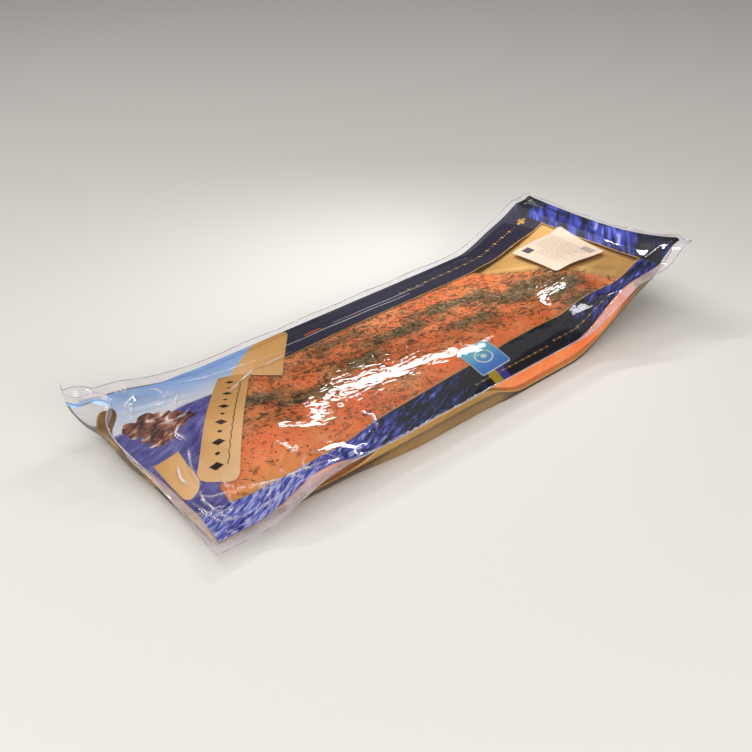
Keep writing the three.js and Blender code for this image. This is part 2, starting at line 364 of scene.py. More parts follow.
LEFT_BOW, LEFT_BELLY = (74.0, 16.0, 13.0), (32.0, 26.0, -5.0)
CLIMB_START, CLIMB_END, CLIMB_RISE, CLIMB_POWER = -50.0, 100.0, 50.0, 1.3
LEFT_TIP_DROP = (84.0, 98.0, -12.0)
TAIL_BULGE, FISH_BULGE = 8.0, (-150.0, 20.0, 7.0)
RIGHT_FADE, LEFT_FADE = (150.0, 235.0, -0.9), (-215.0, -262.0, -0.8)
RIDGE, RIDGE_SHIFT = 5.0, (-150.0, 50.0, -30.0)
NEAR_POWER, NEAR_POWER_DROP, FAR_POWER = 3.0, (0.0, -150.0, -1.2), 1.9
HOLLOW_LINE = (-72.0, 22.0, 1.0)
LEFT_HOLLOW, RIGHT_HOLLOW = (-200.0, 45.0, -9.0), (205.0, 30.0, -11.0)
LEFT_BLEND, RIGHT_BLEND = (-225.0, -279.0, 1.0), (250.0, 283.0, 1.0)
RIGHT_CORNER, CORNER_REACH, RIGHT_SAG = (-112.0, -94.0, 21.0), 70.0, 5.0
FILM_OVER_BOARD, CARRY_BLEND = 3.0, 4.0

FISH_UNDER_FILM, TAIL_DROP, TAIL_SLANT, TAIL_LINE = 1.6, (-4.0, -30.0, -2.4), 1.02, -203.0
FISH_LEAST = 1.2
FISH_LEFT, TAIL_ROUNDING = -262.0, 15.0
FISH_NEAR = [-66.0, (-262.0, -225.0, -12.0), (-60.0, 50.0, -22.0), (160.0, 232.0, 7.0)]
FISH_FAR = [46.0, (-262.0, -205.0, 22.0), (-150.0, 50.0, 11.0), (60.0, 150.0, -19.0)]
CUT_END_Y = [-95.0, -78.0, -62.0, -48.0, -25.0, 2.0, 27.0, 49.0, 62.0]
CUT_END_X = [229.0, 226.0, 222.0, 215.0, 196.0, 184.0, 160.0, 151.0, 148.0]
CUT_END_REACH = (-80.0, 62.0)
SHOULDER, TAIL_SHOULDER, TAIL_SIDE = 6.0, (-150.0, -215.0, 20.0), (0.0, -30.0, 1.0)
FISH_LENGTH, FISH_STEP, FISH_STEP_ACROSS = 470.0, 0.003, 0.009375
FISH_GAP, FISH_FOOT = 0.2, 1.0
FAT_WIDTH, FAT_FADE = 4.5, (-30.0, -90.0, 0.5)
SLICE_PITCH, SLICE_LEAN, SLICE_DEPTH = 7.0, 0.35, 0.18
SLICE_WANDER, SLICE_WANDER_LENGTH, SLICE_BACK = 0.35, 31.0, (1.0, 0.85, 1.0)
FLESH, FLESH_DEEP, FLESH_PALE = (255, 144, 78), (252, 120, 56), (255, 188, 128)
FAT, TAIL_GOLD = (246, 214, 146), (255, 184, 96)
HERB_SHARE, FIBRE_SHARE = 0.9, 0.5
HERB_STOPS = [
    (0.30, (82, 86, 44)),
    (0.42, (148, 122, 70)),
    (0.52, (208, 148, 94)),
    (0.64, (244, 196, 148)),
]
TAIL_GLOW = [(-150.0, -236.0, 1.0), (-46.0, -74.0, 1.0)]


def near_edge_height(x):
    """Height of the near cut edge: low at the left end and raised at the right."""
    raised = step(x, *NEAR_RIGHT_LIFT) + step(x, *NEAR_LEFT_DROP)
    return NEAR_EDGE_HEIGHT + raised + hill(x, *NEAR_WAVE)


def far_edge_height(x):
    """Height of the far cut edge: raised at both ends, with a curled tip at the left."""
    raised = step(x, *FAR_RIGHT_LIFT) + step(x, *FAR_TIP_LIFT)
    return FAR_EDGE_HEIGHT + raised + step(x, *FAR_LEFT_LIFT) + step(x, *FAR_CURL)


def near_tilt(x):
    """Upward tilt of the near rim, in radians."""
    return np.radians(step(x, *NEAR_TILT) * (1 + step(x, *NEAR_TILT_END)))


def far_tilt(x):
    """Upward tilt of the far rim, in radians."""
    return np.radians(FAR_TILT + step(x, *FAR_TILT_CURL))


def left_tilt(y):
    """Upward tilt of the left end rim: flat at the near corner and upright at the far one."""
    return np.radians(step(y, *LEFT_TILT))


def left_seal(y):
    """Plan line where the films part at the left end: the cut edge moved in by the tilted rim."""
    edge = LEFT_EDGE + step(y, *LEFT_CORNER_FLARE) + hill(y, *LEFT_BOW) + hill(y, *LEFT_BELLY)
    edge = edge + step(y, *LEFT_TIP_FLARE)
    return edge + END_RIM * np.cos(left_tilt(y))


def left_seal_height(y):
    """Height of that line: a power curve that climbs to the far corner, less the tilted rim."""
    climb = np.clip((y - CLIMB_START) / (CLIMB_END - CLIMB_START), 0.0, 1.0) ** CLIMB_POWER
    edge = LEFT_END_HEIGHT + CLIMB_RISE * climb + step(y, *LEFT_TIP_DROP)
    return edge - END_RIM * np.sin(left_tilt(y))


def side_seals(x):
    """Plan and height of the near and the far line where the two films part."""
    near, far = near_tilt(x), far_tilt(x)
    near_z = near_edge_height(x) - SIDE_RIM * np.sin(near)
    far_z = far_edge_height(x) - SIDE_RIM * np.sin(far)
    near_y = -HALF_WIDTH + SIDE_RIM * np.cos(near)
    return near_y, near_z, HALF_WIDTH - SIDE_RIM * np.cos(far), far_z


def film_height(x, y):
    """Height of the smooth top film: a straight line between the side seals, a dome over the fish,
    hollows beside it, the climb to both end rims, and never below the bent board."""
    near_y, near_z, far_y, far_z = side_seals(x)
    chord = mix(near_z, far_z, (y - near_y) / (far_y - near_y))
    ridge = RIDGE + step(x, *RIDGE_SHIFT)
    side = np.where(y < ridge, (ridge - y) / (ridge - near_y), (y - ridge) / (far_y - ridge))
    power = np.where(y < ridge, NEAR_POWER + step(x, *NEAR_POWER_DROP), FAR_POWER)
    fade = (1 + step(x, *RIGHT_FADE)) * (1 + step(x, *LEFT_FADE))
    dome = (TAIL_BULGE + step(x, *FISH_BULGE)) * fade * (1 - np.clip(side, 0, 1) ** power)
    hollow = (hill(x, *LEFT_HOLLOW) + hill(x, *RIGHT_HOLLOW)) * hill(y, *HOLLOW_LINE)
    corner = step(y, *RIGHT_CORNER) * np.exp(-np.maximum(y - RIGHT_CORNER[1], 0) / CORNER_REACH)
    sag = RIGHT_SAG * (1 - (y / HALF_WIDTH) ** 2)
    free = mix(chord, left_seal_height(y), step(x, *LEFT_BLEND)) + dome + hollow
    free = free + (corner - sag) * step(x, *RIGHT_BLEND)
    carried = board_rise(x) + FILM_OVER_BOARD
    return (free + carried + np.hypot(free - carried, CARRY_BLEND)) / 2


def along(x, parts):
    """A base value plus smooth steps along x."""
    return parts[0] + sum(step(x, *part) for part in parts[1:])


def cut_end(y):
    """Plan line of the slanting cut at the fish's right end, straight between its corners."""
    wide = np.interp(y, CUT_END_Y, CUT_END_X)
    return (wide + np.interp(y - 5, CUT_END_Y, CUT_END_X) + np.interp(y + 5, CUT_END_Y, CUT_END_X)) / 3


def fish_plan(columns, rows):
    """Plan of the fish: rows between its near and far edge, columns between tail and cut end."""
    tail = FISH_LEFT + TAIL_ROUNDING * np.abs(2 * rows - 1) ** 3
    x = mix(tail, cut_end(mix(*CUT_END_REACH, rows)), columns)
    return x, mix(along(x, FISH_NEAR), along(x, FISH_FAR), rows)


def slice_steps(x, y):
    """The cut slices lie over each other like tiles: a shallow saw-tooth that leans across."""
    wander = SLICE_WANDER * np.sin(y / SLICE_WANDER_LENGTH)
    phase = ((x + SLICE_LEAN * y) / SLICE_PITCH + wander) % 1.0
    return SLICE_DEPTH * (phase - 0.5) * step(phase, *SLICE_BACK)


def fish_top(x, y):
    """Height of the flesh under the tight film, with its slices, and lower where print hides it."""
    under_print = step(x - TAIL_SLANT * y - TAIL_LINE, *TAIL_DROP)
    return film_height(x, y) - FISH_UNDER_FILM + slice_steps(x, y) + under_print


DILL_BEDS = [
    (-175.0, 14.0, 26.0, 7.0, 0.9),
    (-126.0, -9.0, 24.0, 7.0, 0.9),
    (-100.0, 41.0, 24.0, 7.0, 0.35),
    (-63.0, -3.0, 28.0, 7.0, 0.6),
    (-1.0, 10.0, 34.0, 7.0, 1.0),
    (48.0, 20.0, 26.0, 7.0, 0.9),
    (63.0, -21.0, 26.0, 6.0, 0.7),
    (141.0, -14.0, 32.0, 12.0, 1.6),
    (166.0, -45.0, 24.0, 10.0, 1.5),
    (171.0, -72.0, 18.0, 8.0, 1.0),
    (105.0, 12.0, 24.0, 8.0, 0.8),
    (-40.0, 44.0, 36.0, 7.0, 0.35),
]
DILL_FLOOR, DILL_MOST, DILL_LEAN, DILL_WAVES, CLEANNESS = 0.18, 1.6, 0.10, 0.22, 0.86
CLEAN_PLACES = [(-195.0, 62.0, -62.0, 36.0), (45.0, 90.0, -72.0, 26.0), (208.0, 20.0, -40.0, 50.0)]


def dill_cover(x, y):
    """How thickly the dill lies, 0 to about 1.6: raked beds, a thin scatter, and bare patches."""
    cover = DILL_FLOOR * np.ones(np.shape(x))
    for bed_x, bed_y, length, width, weight in DILL_BEDS:
        lean = (y - bed_y) + DILL_LEAN * (x - bed_x)
        cover = cover + weight * np.exp(-(((x - bed_x) / length) ** 2) - (lean / width) ** 2)
    waves = np.sin(x / 13.0 + y / 7.0) + np.sin(x / 8.0 - y / 11.0 + 1.7) + np.sin(x / 21.0 - 2.0)
    cover = cover * (1 + DILL_WAVES * waves)
    for middle_x, reach_x, middle_y, reach_y in CLEAN_PLACES:
        bare = np.exp(-np.abs((x - middle_x) / reach_x) ** 4 - np.abs((y - middle_y) / reach_y) ** 4)
        cover = cover * (1 - CLEANNESS * bare)
    return np.clip(cover, 0.0, DILL_MOST)


def flesh_material():
    """Cured salmon: deep orange flesh with fine pale fibres and fat lines, paler where the tail is
    thin, and covered with fine crumbs of herb and spice where the dill lies."""
    material, tree, shader = start_material("cured_salmon")
    clouds = noise(tree, object_coordinates(tree), 30.0, 4.0, 0.6)
    flesh = colour_ramp(tree, clouds, [(0.30, FLESH_DEEP), (0.52, FLESH), (0.78, FLESH_PALE)])
    fibres = noise(tree, object_coordinates(tree, (260, 34, 100), 12), 3.0, 5.0, 0.65, 0.4)
    fibre_share = ranged(tree, fibres, 0.52, 0.72, 0.0, FIBRE_SHARE)
    flesh = mix_colour(tree, fibre_share, flesh, paint(*FLESH_PALE))
    flesh = mix_colour(tree, mask(tree, "fat"), flesh, paint(*FAT))
    flesh = mix_colour(tree, mask(tree, "thin_tail"), flesh, paint(*TAIL_GOLD))
    cover = mask(tree, "dill_stain")
    crumbs = noise(tree, object_coordinates(tree, (1, 1.5, 1), 10), 330.0, 3.0, 0.7, 0.6)
    share = ranged(tree, maths(tree, "MULTIPLY_ADD", cover, 0.55, crumbs), 0.58, 1.0, 0.0, HERB_SHARE)
    tones = noise(tree, object_coordinates(tree, (1, 1.4, 1), -20), 420.0, 2.0, 0.6, 0.4)
    herbs = colour_ramp(tree, maths(tree, "MULTIPLY_ADD", cover, -0.16, tones), HERB_STOPS)
    finish = {
        "Base Color": mix_colour(tree, share, flesh, herbs),
        "Roughness": 0.38,
        "Specular IOR Level": 0.25,
        "Subsurface Weight": 0.06,
        "Subsurface Scale": 0.004,
        "Normal": bump(tree, fibres, 0.35, 0.0004),
    }
    feed(tree, shader, finish)
    return material


fish_columns = spread(0.0, 1.0, FISH_STEP, 0.15)[:, None]
fish_rows = spread(0.0, 1.0, FISH_STEP_ACROSS, 0.45)[None, :]
fish_x, fish_y = fish_plan(fish_columns, fish_rows)
fish_width = along(fish_x, FISH_FAR) - along(fish_x, FISH_NEAR)
side_distance = np.minimum(fish_rows, 1 - fish_rows) * fish_width
end_distance = np.minimum(fish_columns, 1 - fish_columns) * FISH_LENGTH
inward = np.minimum(side_distance, end_distance)
shoulder = SHOULDER + step(fish_x, *TAIL_SHOULDER) * step(fish_y, *TAIL_SIDE)
rounding = np.sqrt(1 - (1 - np.clip(inward / shoulder, 0.0, 1.0)) ** 2)
fish_floor = board_face(fish_x, fish_y) + FISH_GAP
fish_thickness = np.maximum(fish_top(fish_x, fish_y) - fish_floor, FISH_LEAST)
fish_upper = fish_floor + FISH_FOOT + (fish_thickness - FISH_FOOT) * rounding
fish_grid = np.stack([fish_x, fish_y, fish_upper], axis=2)
fish_base = np.stack([fish_x, fish_y, fish_floor], axis=2)
right_end = (1 - fish_columns) * FISH_LENGTH
fat_line = np.exp(-((right_end / FAT_WIDTH) ** 2)) * (1 - step(fish_y, *FAT_FADE))
stain_mask = dill_cover(fish_x, fish_y) * (inward > 2.0)
none = np.zeros((fish_columns.size * 2 + fish_rows.size * 2 - 3, 2))
tail_glow = step(fish_x, *TAIL_GLOW[0]) * step(fish_y, *TAIL_GLOW[1])
piece_from_grids(
    "gravlax_side",
    shell_grids(fish_grid, fish_base),
    flesh_material(),
    {
        "fat": [fat_line, fat_line.T * 0, none],
        "dill_stain": [stain_mask, stain_mask.T * 0, none],
        "thin_tail": [tail_glow, tail_glow.T, none],
    },
    replaces=["sealed_pack"],
)


# ---------------------------------------------------------------------------------------------
# Dill. Chopped fronds and loose needles, raked over the fish in thick and thin beds and pressed
# flat by the film. Every strand is a thin closed spindle, and a frond is a stem with needles.
FROND_COUNT, NEEDLE_COUNT = 1400, 14500
FROND_LENGTH, NEEDLE_LENGTH = (5.0, 10.0), (2.0, 6.5)
FROND_NEEDLES = 7
STRAND_RADIUS, LOOSE_RADIUS, STRAND_BEND = 0.03, 0.056, 0.35
DILL_LIFT = (0.15, 0.85)
EDGE_MARGIN = 4.0
DILL_COLOURS = [
    (0.00, (50, 66, 36)),
    (0.26, (98, 104, 54)),
    (0.48, (168, 136, 80)),
    (0.74, (228, 180, 124)),
    (1.00, (252, 226, 178)),
]
rake = np.random.default_rng(41)


def spindle(start, end, radius):
    """Five points of a thin closed spindle: both tips and three points round its thickest place."""
    middle = mix(start, end, 0.42)
    turns = np.radians([90.0, 210.0, 330.0])
    direction = unit(end - start)
    across = np.array([-direction[1], direction[0], 0.0])
    ring = [middle + radius * (np.cos(t) * across + np.sin(t) * np.array([0, 0, 1.0])) for t in turns]
    return np.array([start, *ring, end])


SPINDLE_FACES = np.array([(0, 2, 1), (0, 3, 2), (0, 1, 3), (4, 1, 2), (4, 2, 3), (4, 3, 1)])


def frond_strands():
    """Points of one frond of length 1: a stem along X and needles that leave it in turn to each
    side at 35 to 50 degrees, shorter towards the tip."""
    strands = [spindle(np.zeros(3), np.array([1.0, 0, 0]), STRAND_RADIUS * 1.3)]
    for index in range(FROND_NEEDLES):
        foot = 0.12 + 0.72 * index / (FROND_NEEDLES - 1)
        side = 1 if index % 2 else -1
        angle = np.radians(50 - 15 * foot) * side
        reach = 0.46 - 0.22 * foot
        tip = np.array([foot + reach * np.cos(angle), reach * np.sin(angle), 0.01])
        strands.append(spindle(np.array([foot, 0, 0.0]), tip, STRAND_RADIUS))
    return np.concatenate(strands)


def scattered_places(count, cover, attempts=60):
    """Places on the fish, drawn evenly over it and kept with the probability cover(x, y)."""
    x, y = fish_plan(*rake.random((2, count * attempts)))
    sides = np.minimum(y - along(x, FISH_NEAR), along(x, FISH_FAR) - y)
    ends = np.minimum(x - FISH_LEFT - TAIL_ROUNDING, cut_end(y) - x)
    inside = np.minimum(sides, ends) > EDGE_MARGIN
    kept = np.flatnonzero(inside & (rake.random(x.size) * DILL_MOST < cover(x, y)))[:count]
    return x[kept], y[kept]


def turned(x, y, u, v, angle):
    """Local offsets u and v turned by an angle and set at x, y."""
    c, s = np.cos(angle), np.sin(angle)
    return x + c * u - s * v, y + s * u + c * v


def copies_piece(name, points, template_faces, material):
    """One piece from the copies of a template, points (copy, point, 3), with a tone for each."""
    count, size = points.shape[:2]
    faces = (template_faces + size * np.arange(count)[:, None, None]).reshape(-1, 3)
    tone = np.repeat(rake.random(count), size)
    return piece_from_faces(name, points.reshape(-1, 3), faces.tolist(), material, {"tone": tone})


def strew(template, template_faces, count, cover, length, name, material, tilt=0.6):
    """Copies of a template, each turned, bent and scaled at random, laid on the fish. The turn
    keeps near the pack's length, as raked herbs do."""
    x, y = scattered_places(count, cover)
    count = len(x)
    size = rake.uniform(*length, count)
    angle = rake.normal(0.0, tilt, count) + np.pi * rake.integers(0, 2, count)
    bend = rake.uniform(-STRAND_BEND, STRAND_BEND, count)
    x, y, size, angle, bend = (values[:, None] for values in (x, y, size, angle, bend))
    u, v, w = template.T
    x, y = turned(x, y, size * (u - 0.4), size * (v + bend * u**2), angle)
    lift = rake.uniform(*DILL_LIFT, count)[:, None]
    points = np.stack([x, y, fish_top(x, y) + lift + size * w], axis=2)
    return copies_piece(name, points, template_faces, material)


def dill_material():
    """Wet chopped dill: a tone for each strand, from near-black green to straw."""
    material, tree, shader = start_material("wet_dill")
    wander = noise(tree, object_coordinates(tree), 60.0, 3.0, 0.6)
    tone = maths(tree, "ADD", mask(tree, "tone"), maths(tree, "MULTIPLY_ADD", wander, 0.9, -0.45))
    feed(tree, shader, {"Base Color": colour_ramp(tree, tone, DILL_COLOURS), "Roughness": 0.5})
    return material


dill_green = dill_material()
frond = frond_strands()
frond_faces = np.concatenate([SPINDLE_FACES + 5 * k for k in range(FROND_NEEDLES + 1)])
strew(frond, frond_faces, FROND_COUNT, dill_cover, FROND_LENGTH, "dill_fronds", dill_green)
needle = spindle(np.zeros(3), np.array([1.0, 0, 0]), LOOSE_RADIUS)
strew(needle, SPINDLE_FACES, NEEDLE_COUNT, dill_cover, NEEDLE_LENGTH, "dill_needles", dill_green, 1.1)


# ---------------------------------------------------------------------------------------------
# Crushed pepper and pale seeds. Hard little grains that lie between the dill and on the clean
# flesh, and that also stick to the gold card behind the clear side of the pack.
PEPPER_COUNT, SEED_COUNT = 650, 1500
PEPPER_SIZE, SEED_SIZE = (0.35, 0.85), (0.25, 0.55)
PEPPER_COLOURS = [(0.0, (24, 12, 8)), (0.6, (66, 30, 16)), (1.0, (112, 62, 32))]
SEED_COLOURS = [(0.0, (176, 128, 58)), (0.6, (222, 186, 110)), (1.0, (244, 224, 170))]
CARD_GRAINS_X, CARD_GRAINS_Y = (-150.0, 60.0), (-102.0, -80.0)
GRAIN_LIFT, GRAIN_KNOCK = 0.3, (0.72, 1.2)
GOLDEN = (1 + 5**0.5) / 2


def icosahedron():
    """Twelve points of three golden rectangles at right angles, and the twenty faces on them."""
    points = [(sign, flip * GOLDEN) for sign in (-1, 1) for flip in (-1, 1)]
    corners = [(0, p, q) for p, q in points]
    corners += [(p, q, 0) for p, q in points]
    corners += [(q, 0, p) for p, q in points]
    corners = np.array(corners) / np.hypot(1, GOLDEN)
    edge = 2.0 / np.hypot(1, GOLDEN) + 1e-6
    near = np.linalg.norm(corners[:, None] - corners[None, :], axis=2) < edge
    faces = []
    for a, b, c in combinations(range(12), 3):
        if near[a, b] and near[b, c] and near[a, c]:
            outward = np.cross(corners[b] - corners[a], corners[c] - corners[a]) @ corners[a]
            faces.append((a, b, c) if outward > 0 else (a, c, b))
    return corners, np.array(faces)


grain_points, grain_faces = icosahedron()


def scatter_grains(name, count, size, cover, colours, flat, on_card):
    """Grains with knocked corners: each point of an icosahedron moved in or out at random."""
    x, y = scattered_places(count, cover, 20)
    card_x = rake.uniform(*CARD_GRAINS_X, on_card)
    card_y = rake.uniform(*CARD_GRAINS_Y, on_card)
    z = np.concatenate([fish_top(x, y), board_face(card_x, card_y)]) + GRAIN_LIFT
    x, y = np.concatenate([x, card_x]), np.concatenate([y, card_y])
    radius = rake.uniform(*size, len(x))[:, None, None]
    knocked = grain_points[None] * rake.uniform(*GRAIN_KNOCK, (len(x), 12, 1)) * radius
    u, v, w = np.moveaxis(knocked * np.array([1.25, 0.9, flat]), 2, 0)
    angle = rake.uniform(0, np.pi, len(x))[:, None]
    plan_x, plan_y = turned(x[:, None], y[:, None], u, v, angle)
    points = np.stack([plan_x, plan_y, z[:, None] + w], axis=2)
    material, tree, shader = start_material(name + "_finish")
    speck = noise(tree, object_coordinates(tree), 900.0, 2.0)
    tone = maths(tree, "MULTIPLY", maths(tree, "MULTIPLY", mask(tree, "tone"), speck), 1.8)
    feed(tree, shader, {"Base Color": colour_ramp(tree, tone, colours), "Roughness": 0.45})
    return copies_piece(name, points, grain_faces, material)


def pepper_cover(x, y):
    """Pepper lies all over, a little more in the dill."""
    return 0.5 + 0.4 * dill_cover(x, y)


def seed_cover(x, y):
    """Seeds lie with the dill."""
    return 0.25 + 0.8 * dill_cover(x, y)


scatter_grains("crushed_pepper", PEPPER_COUNT, PEPPER_SIZE, pepper_cover, PEPPER_COLOURS, 0.6, 90)
scatter_grains("pale_seeds", SEED_COUNT, SEED_SIZE, seed_cover, SEED_COLOURS, 0.7, 60)


# ---------------------------------------------------------------------------------------------
# Bottom film. A clear, unprinted film that wraps the board from below. It leaves the seal line,
# bulges out a little at the sides and turns under the board.
UNDER_LEFT, UNDER_HALF_WIDTH, UNDER_CORNER = -286.0, 94.0, 8.0
WALL_BULGE, WALL_STEPS = 3.2, 12
UNDER_COLUMNS, UNDER_ROWS = 188, 62
UNDER_SEAL_GAP, UNDER_BOARD_GAP = 0.6, 0.15
WALL_FULL_HEIGHT, WALL_RIPPLE, WALL_RIPPLE_POINTS, WALL_FALL = 12.0, 0.25, 2.7, 1.6
FILM_IOR, SIDE_FILM_TINT, SIDE_FILM_GLOSS = 1.5, (248, 249, 252), 0.8
right_seal = RIGHT_EDGE - END_RIM


def clear_film(tree, normal, tint, roughness, gloss_share):
    """The shader of clear film: seen through apart from its gloss, which Fresnel gives."""
    clear = add(tree, "ShaderNodeBsdfTransparent", {"Color": paint(*tint)}).outputs[0]
    gloss = add(tree, "ShaderNodeBsdfGlossy", {"Roughness": roughness, "Normal": normal}).outputs[0]
    fresnel = add(tree, "ShaderNodeFresnel", {"IOR": FILM_IOR, "Normal": normal}).outputs[0]
    inputs = {0: maths(tree, "MULTIPLY", fresnel, gloss_share), 1: clear, 2: gloss}
    return add(tree, "ShaderNodeMixShader", inputs).outputs[0]


def side_film_material():
    """Clear film with shallow waves."""
    material, tree, shader = start_material("clear_side_film")
    tree.nodes.remove(shader)
    waves = noise(tree, object_coordinates(tree), 60.0, 3.0, 0.5)
    look = clear_film(tree, bump(tree, waves, 0.5, 0.0006), SIDE_FILM_TINT, 0.07, SIDE_FILM_GLOSS)
    feed(tree, tree.nodes["Material Output"], {"Surface": look})
    return material


def seal_point(column, row):
    """A point of the seal line, from the shares along both ways of the film."""
    nominal = mix(SIDE_RIM - HALF_WIDTH, HALF_WIDTH - SIDE_RIM, row)
    x = mix(left_seal(nominal), right_seal, column)
    near_y, _, far_y, _ = side_seals(x)
    y = mix(near_y, far_y, row)
    return np.stack([x, y, film_height(x, y)], axis=-1)


def under_point(column, row):
    """A point below the board: flat under it, and rising to the seal line past its right end."""
    x = mix(UNDER_LEFT, right_seal, column)
    y = mix(-UNDER_HALF_WIDTH, UNDER_HALF_WIDTH, row)
    x, y = rounded_corners(x, y, UNDER_LEFT, UNDER_HALF_WIDTH, UNDER_CORNER)
    y = y - near_bulge(x) * (1 - row) ** 6
    past = np.clip((x - BOARD_RIGHT) / (right_seal - BOARD_RIGHT), 0.0, 1.0)
    z = mix(underside(x, y) + UNDER_BOARD_GAP, film_height(right_seal, y) - UNDER_SEAL_GAP, past)
    return np.stack([x, y, z], axis=-1)


under_shares = grid_of(np.linspace(0, 1, UNDER_COLUMNS), np.linspace(0, 1, UNDER_ROWS))
under = under_point(*under_shares)
seal_ring, foot_ring = seal_point(*map(border_of, under_shares)), border_of(under)
tangent = np.gradient(foot_ring[:, :2], axis=0)
outward = unit(np.stack([tangent[:, 1], -tangent[:, 0]], axis=1))
outward[[0, -1]] = outward[[1, -2]]
wall_height = np.clip((seal_ring[:, 2] - foot_ring[:, 2]) / WALL_FULL_HEIGHT, 0.0, 1.0)
down = np.linspace(0, 1, WALL_STEPS)[:, None]
swell = WALL_BULGE * wall_height * np.sin(np.pi * down**0.75)
ripple = WALL_RIPPLE * np.sin(np.arange(len(seal_ring)) / WALL_RIPPLE_POINTS)
ripple = ripple * np.sin(np.pi * down) * wall_height
wall = mix(seal_ring[None], foot_ring[None], down[:, :, None])
wall[:, :, :2] += (swell + ripple)[:, :, None] * outward
wall[:, :, 2] = foot_ring[:, 2] + (seal_ring - foot_ring)[:, 2] * (1 - down) ** WALL_FALL
under_grids = [wall, under.transpose(1, 0, 2)]
piece_from_grids("bottom_film", under_grids, side_film_material(), replaces=["sealed_pack"])


# ---------------------------------------------------------------------------------------------
# Print, ground layers. The top film is printed on its inside round a clear window: near-black
# blue bands with pale water strokes, and a sky over water at the left end. Each field of ink is
# its own thin patch that follows every fold of the film.
WINDOW_RIGHT = 255.0
WINDOW_FAR = 57.0
WINDOW_NEAR_X = [-256.0, -229.0, -203.0, -187.0, -156.0, -104.0, 4.0, 60.0, 108.0, 155.0, 217.0, 258.0]
WINDOW_NEAR_Y = [-64.0, -72.0, -77.5, -81.0, -80.0, -73.6, -74.0, -70.5, -69.5, -72.0, -79.3, -74.5]
WINDOW_LEFT_Y = [-98.0, -67.0, -46.0, 52.0, 98.0]
WINDOW_LEFT_X = [-253.0, -253.0, -250.0, -150.0, -88.0]
GROUND_DEPTH, LAYER = 0.62, 0.09
PRINT_STEP = 1.5
SEAL_MARGIN, FAR_PRINT_OVER, END_PRINT_OVER = 0.4, (-225.0, -180.0, 6.0), 4.5
BAND_OVERLAP = 1.5
NEAR_ROWS, END_ROWS = (-98.0, -75.0), (-98.0, 104.0)
NEAR_STROKES, END_STROKES = (96.0, 20, (0.75, 3.4, 1)), (40.0, 40, (0.42, 2.6, 1))
NEAR_WATERY = [0.0, (50.0, -50.0, 0.5), (-60.0, -190.0, 0.64), (90.0, 190.0, 0.6)]
END_WATERY = [0.76, (-25.0, -75.0, -0.36), (72.0, 94.0, -0.45)]
UNDULATIONS, UNDULATION_HEIGHT = 9, 0.02
CREASES = {
    "tail_a": (
        [(-270, -40), (-260, -52), (-240, -60), (-225, -69), (-207, -78), (-192, -86), (-162, -95)],
        1.7,
        1.3,
    ),
    "banner_a": ([(-246, 3), (-255, -14), (-258, -26), (-260, -36)], 1.7, 1.3),
    "banner_b": ([(-263, -6), (-268, -19), (-267, -30)], 1.8, 1.2),
    "corner_a": ([(-275, -46), (-274, -62), (-272, -77), (-268, -87), (-260, -94)], 1.8, 1.5),
    "corner_b": ([(-264, -39), (-268, -53), (-266, -74), (-261, -88)], 1.7, 1.1),
    "sky_a": ([(-266, 69), (-247, 82)], 1.8, 1.4),
    "sky_b": ([(-272, 66), (-246, 65), (-198, 57)], 2.4, 1.3),
    "sky_d": ([(-272, 59), (-244, 57), (-204, 48)], 1.8, 0.9),
    "sky_e": ([(-234, 87), (-226, 85), (-226, 74), (-213, 72)], 1.8, 1.0),
    "shore": ([(-251, 38), (-229, 34), (-221, 39)], 1.8, 1.2),
    "water": ([(-243, 10), (-246, 22), (-238, 28)], 2.0, 1.3),
    "tail_b": ([(-186, 36), (-144, 58), (-96, 61)], 1.8, 1.0),
    "tail_c": ([(-172, 79), (-143, 76), (-100, 67)], 1.8, 0.9),
    "sky_c": ([(-205, 88), (-176, 80), (-158, 82)], 1.8, 1.0),
    "corner_c": ([(-258, -84), (-226, -90), (-206, -96)], 1.8, 1.2),
    "far_tuck": ([(-50, 90), (40, 84), (130, 88)], 3.0, 0.5),
    "end_a": ([(214, -84), (252, -78), (276, -88)], 2.4, 0.6),
    "end_b": ([(262, -60), (270, -20), (274, 40)], 4.0, 0.3),
}
CREASE_TAPER, CREASE_END, CREASE_POWER = 0.3, 0.15, 1.6
CRINKLES = [
    (-282, -200, -97, -62, 40),
    (-276, -215, 20, 60, 16),
    (-270, -170, 62, 96, 14),
    (-200, -90, -97, -80, 14),
]
FOLD_FADE = 5.0
HORIZON = 47.0
CRINKLE_REACH, CRINKLE_WIDTH, CRINKLE_HEIGHT = (6.0, 16.0), (1.0, 1.8), (-0.6, 1.0)
NAVY, NAVY_DEEP, INK_BACK = (46, 40, 66), (32, 28, 48), (150, 128, 112)
STROKE_STOPS = [
    (0.38, (26, 26, 36)),
    (0.45, (42, 42, 88)),
    (0.52, (62, 72, 160)),
    (0.60, (98, 108, 204)),
    (0.72, (206, 208, 240)),
]
SKY_STOPS = [(0.0, (236, 238, 238)), (0.2, (218, 226, 240)), (0.5, (184, 210, 244)), (1.0, (146, 184, 238))]
WATER_STOPS = [(0.25, (70, 66, 128)), (0.5, (104, 98, 170)), (0.75, (156, 150, 206))]
crumple = np.random.default_rng(17)


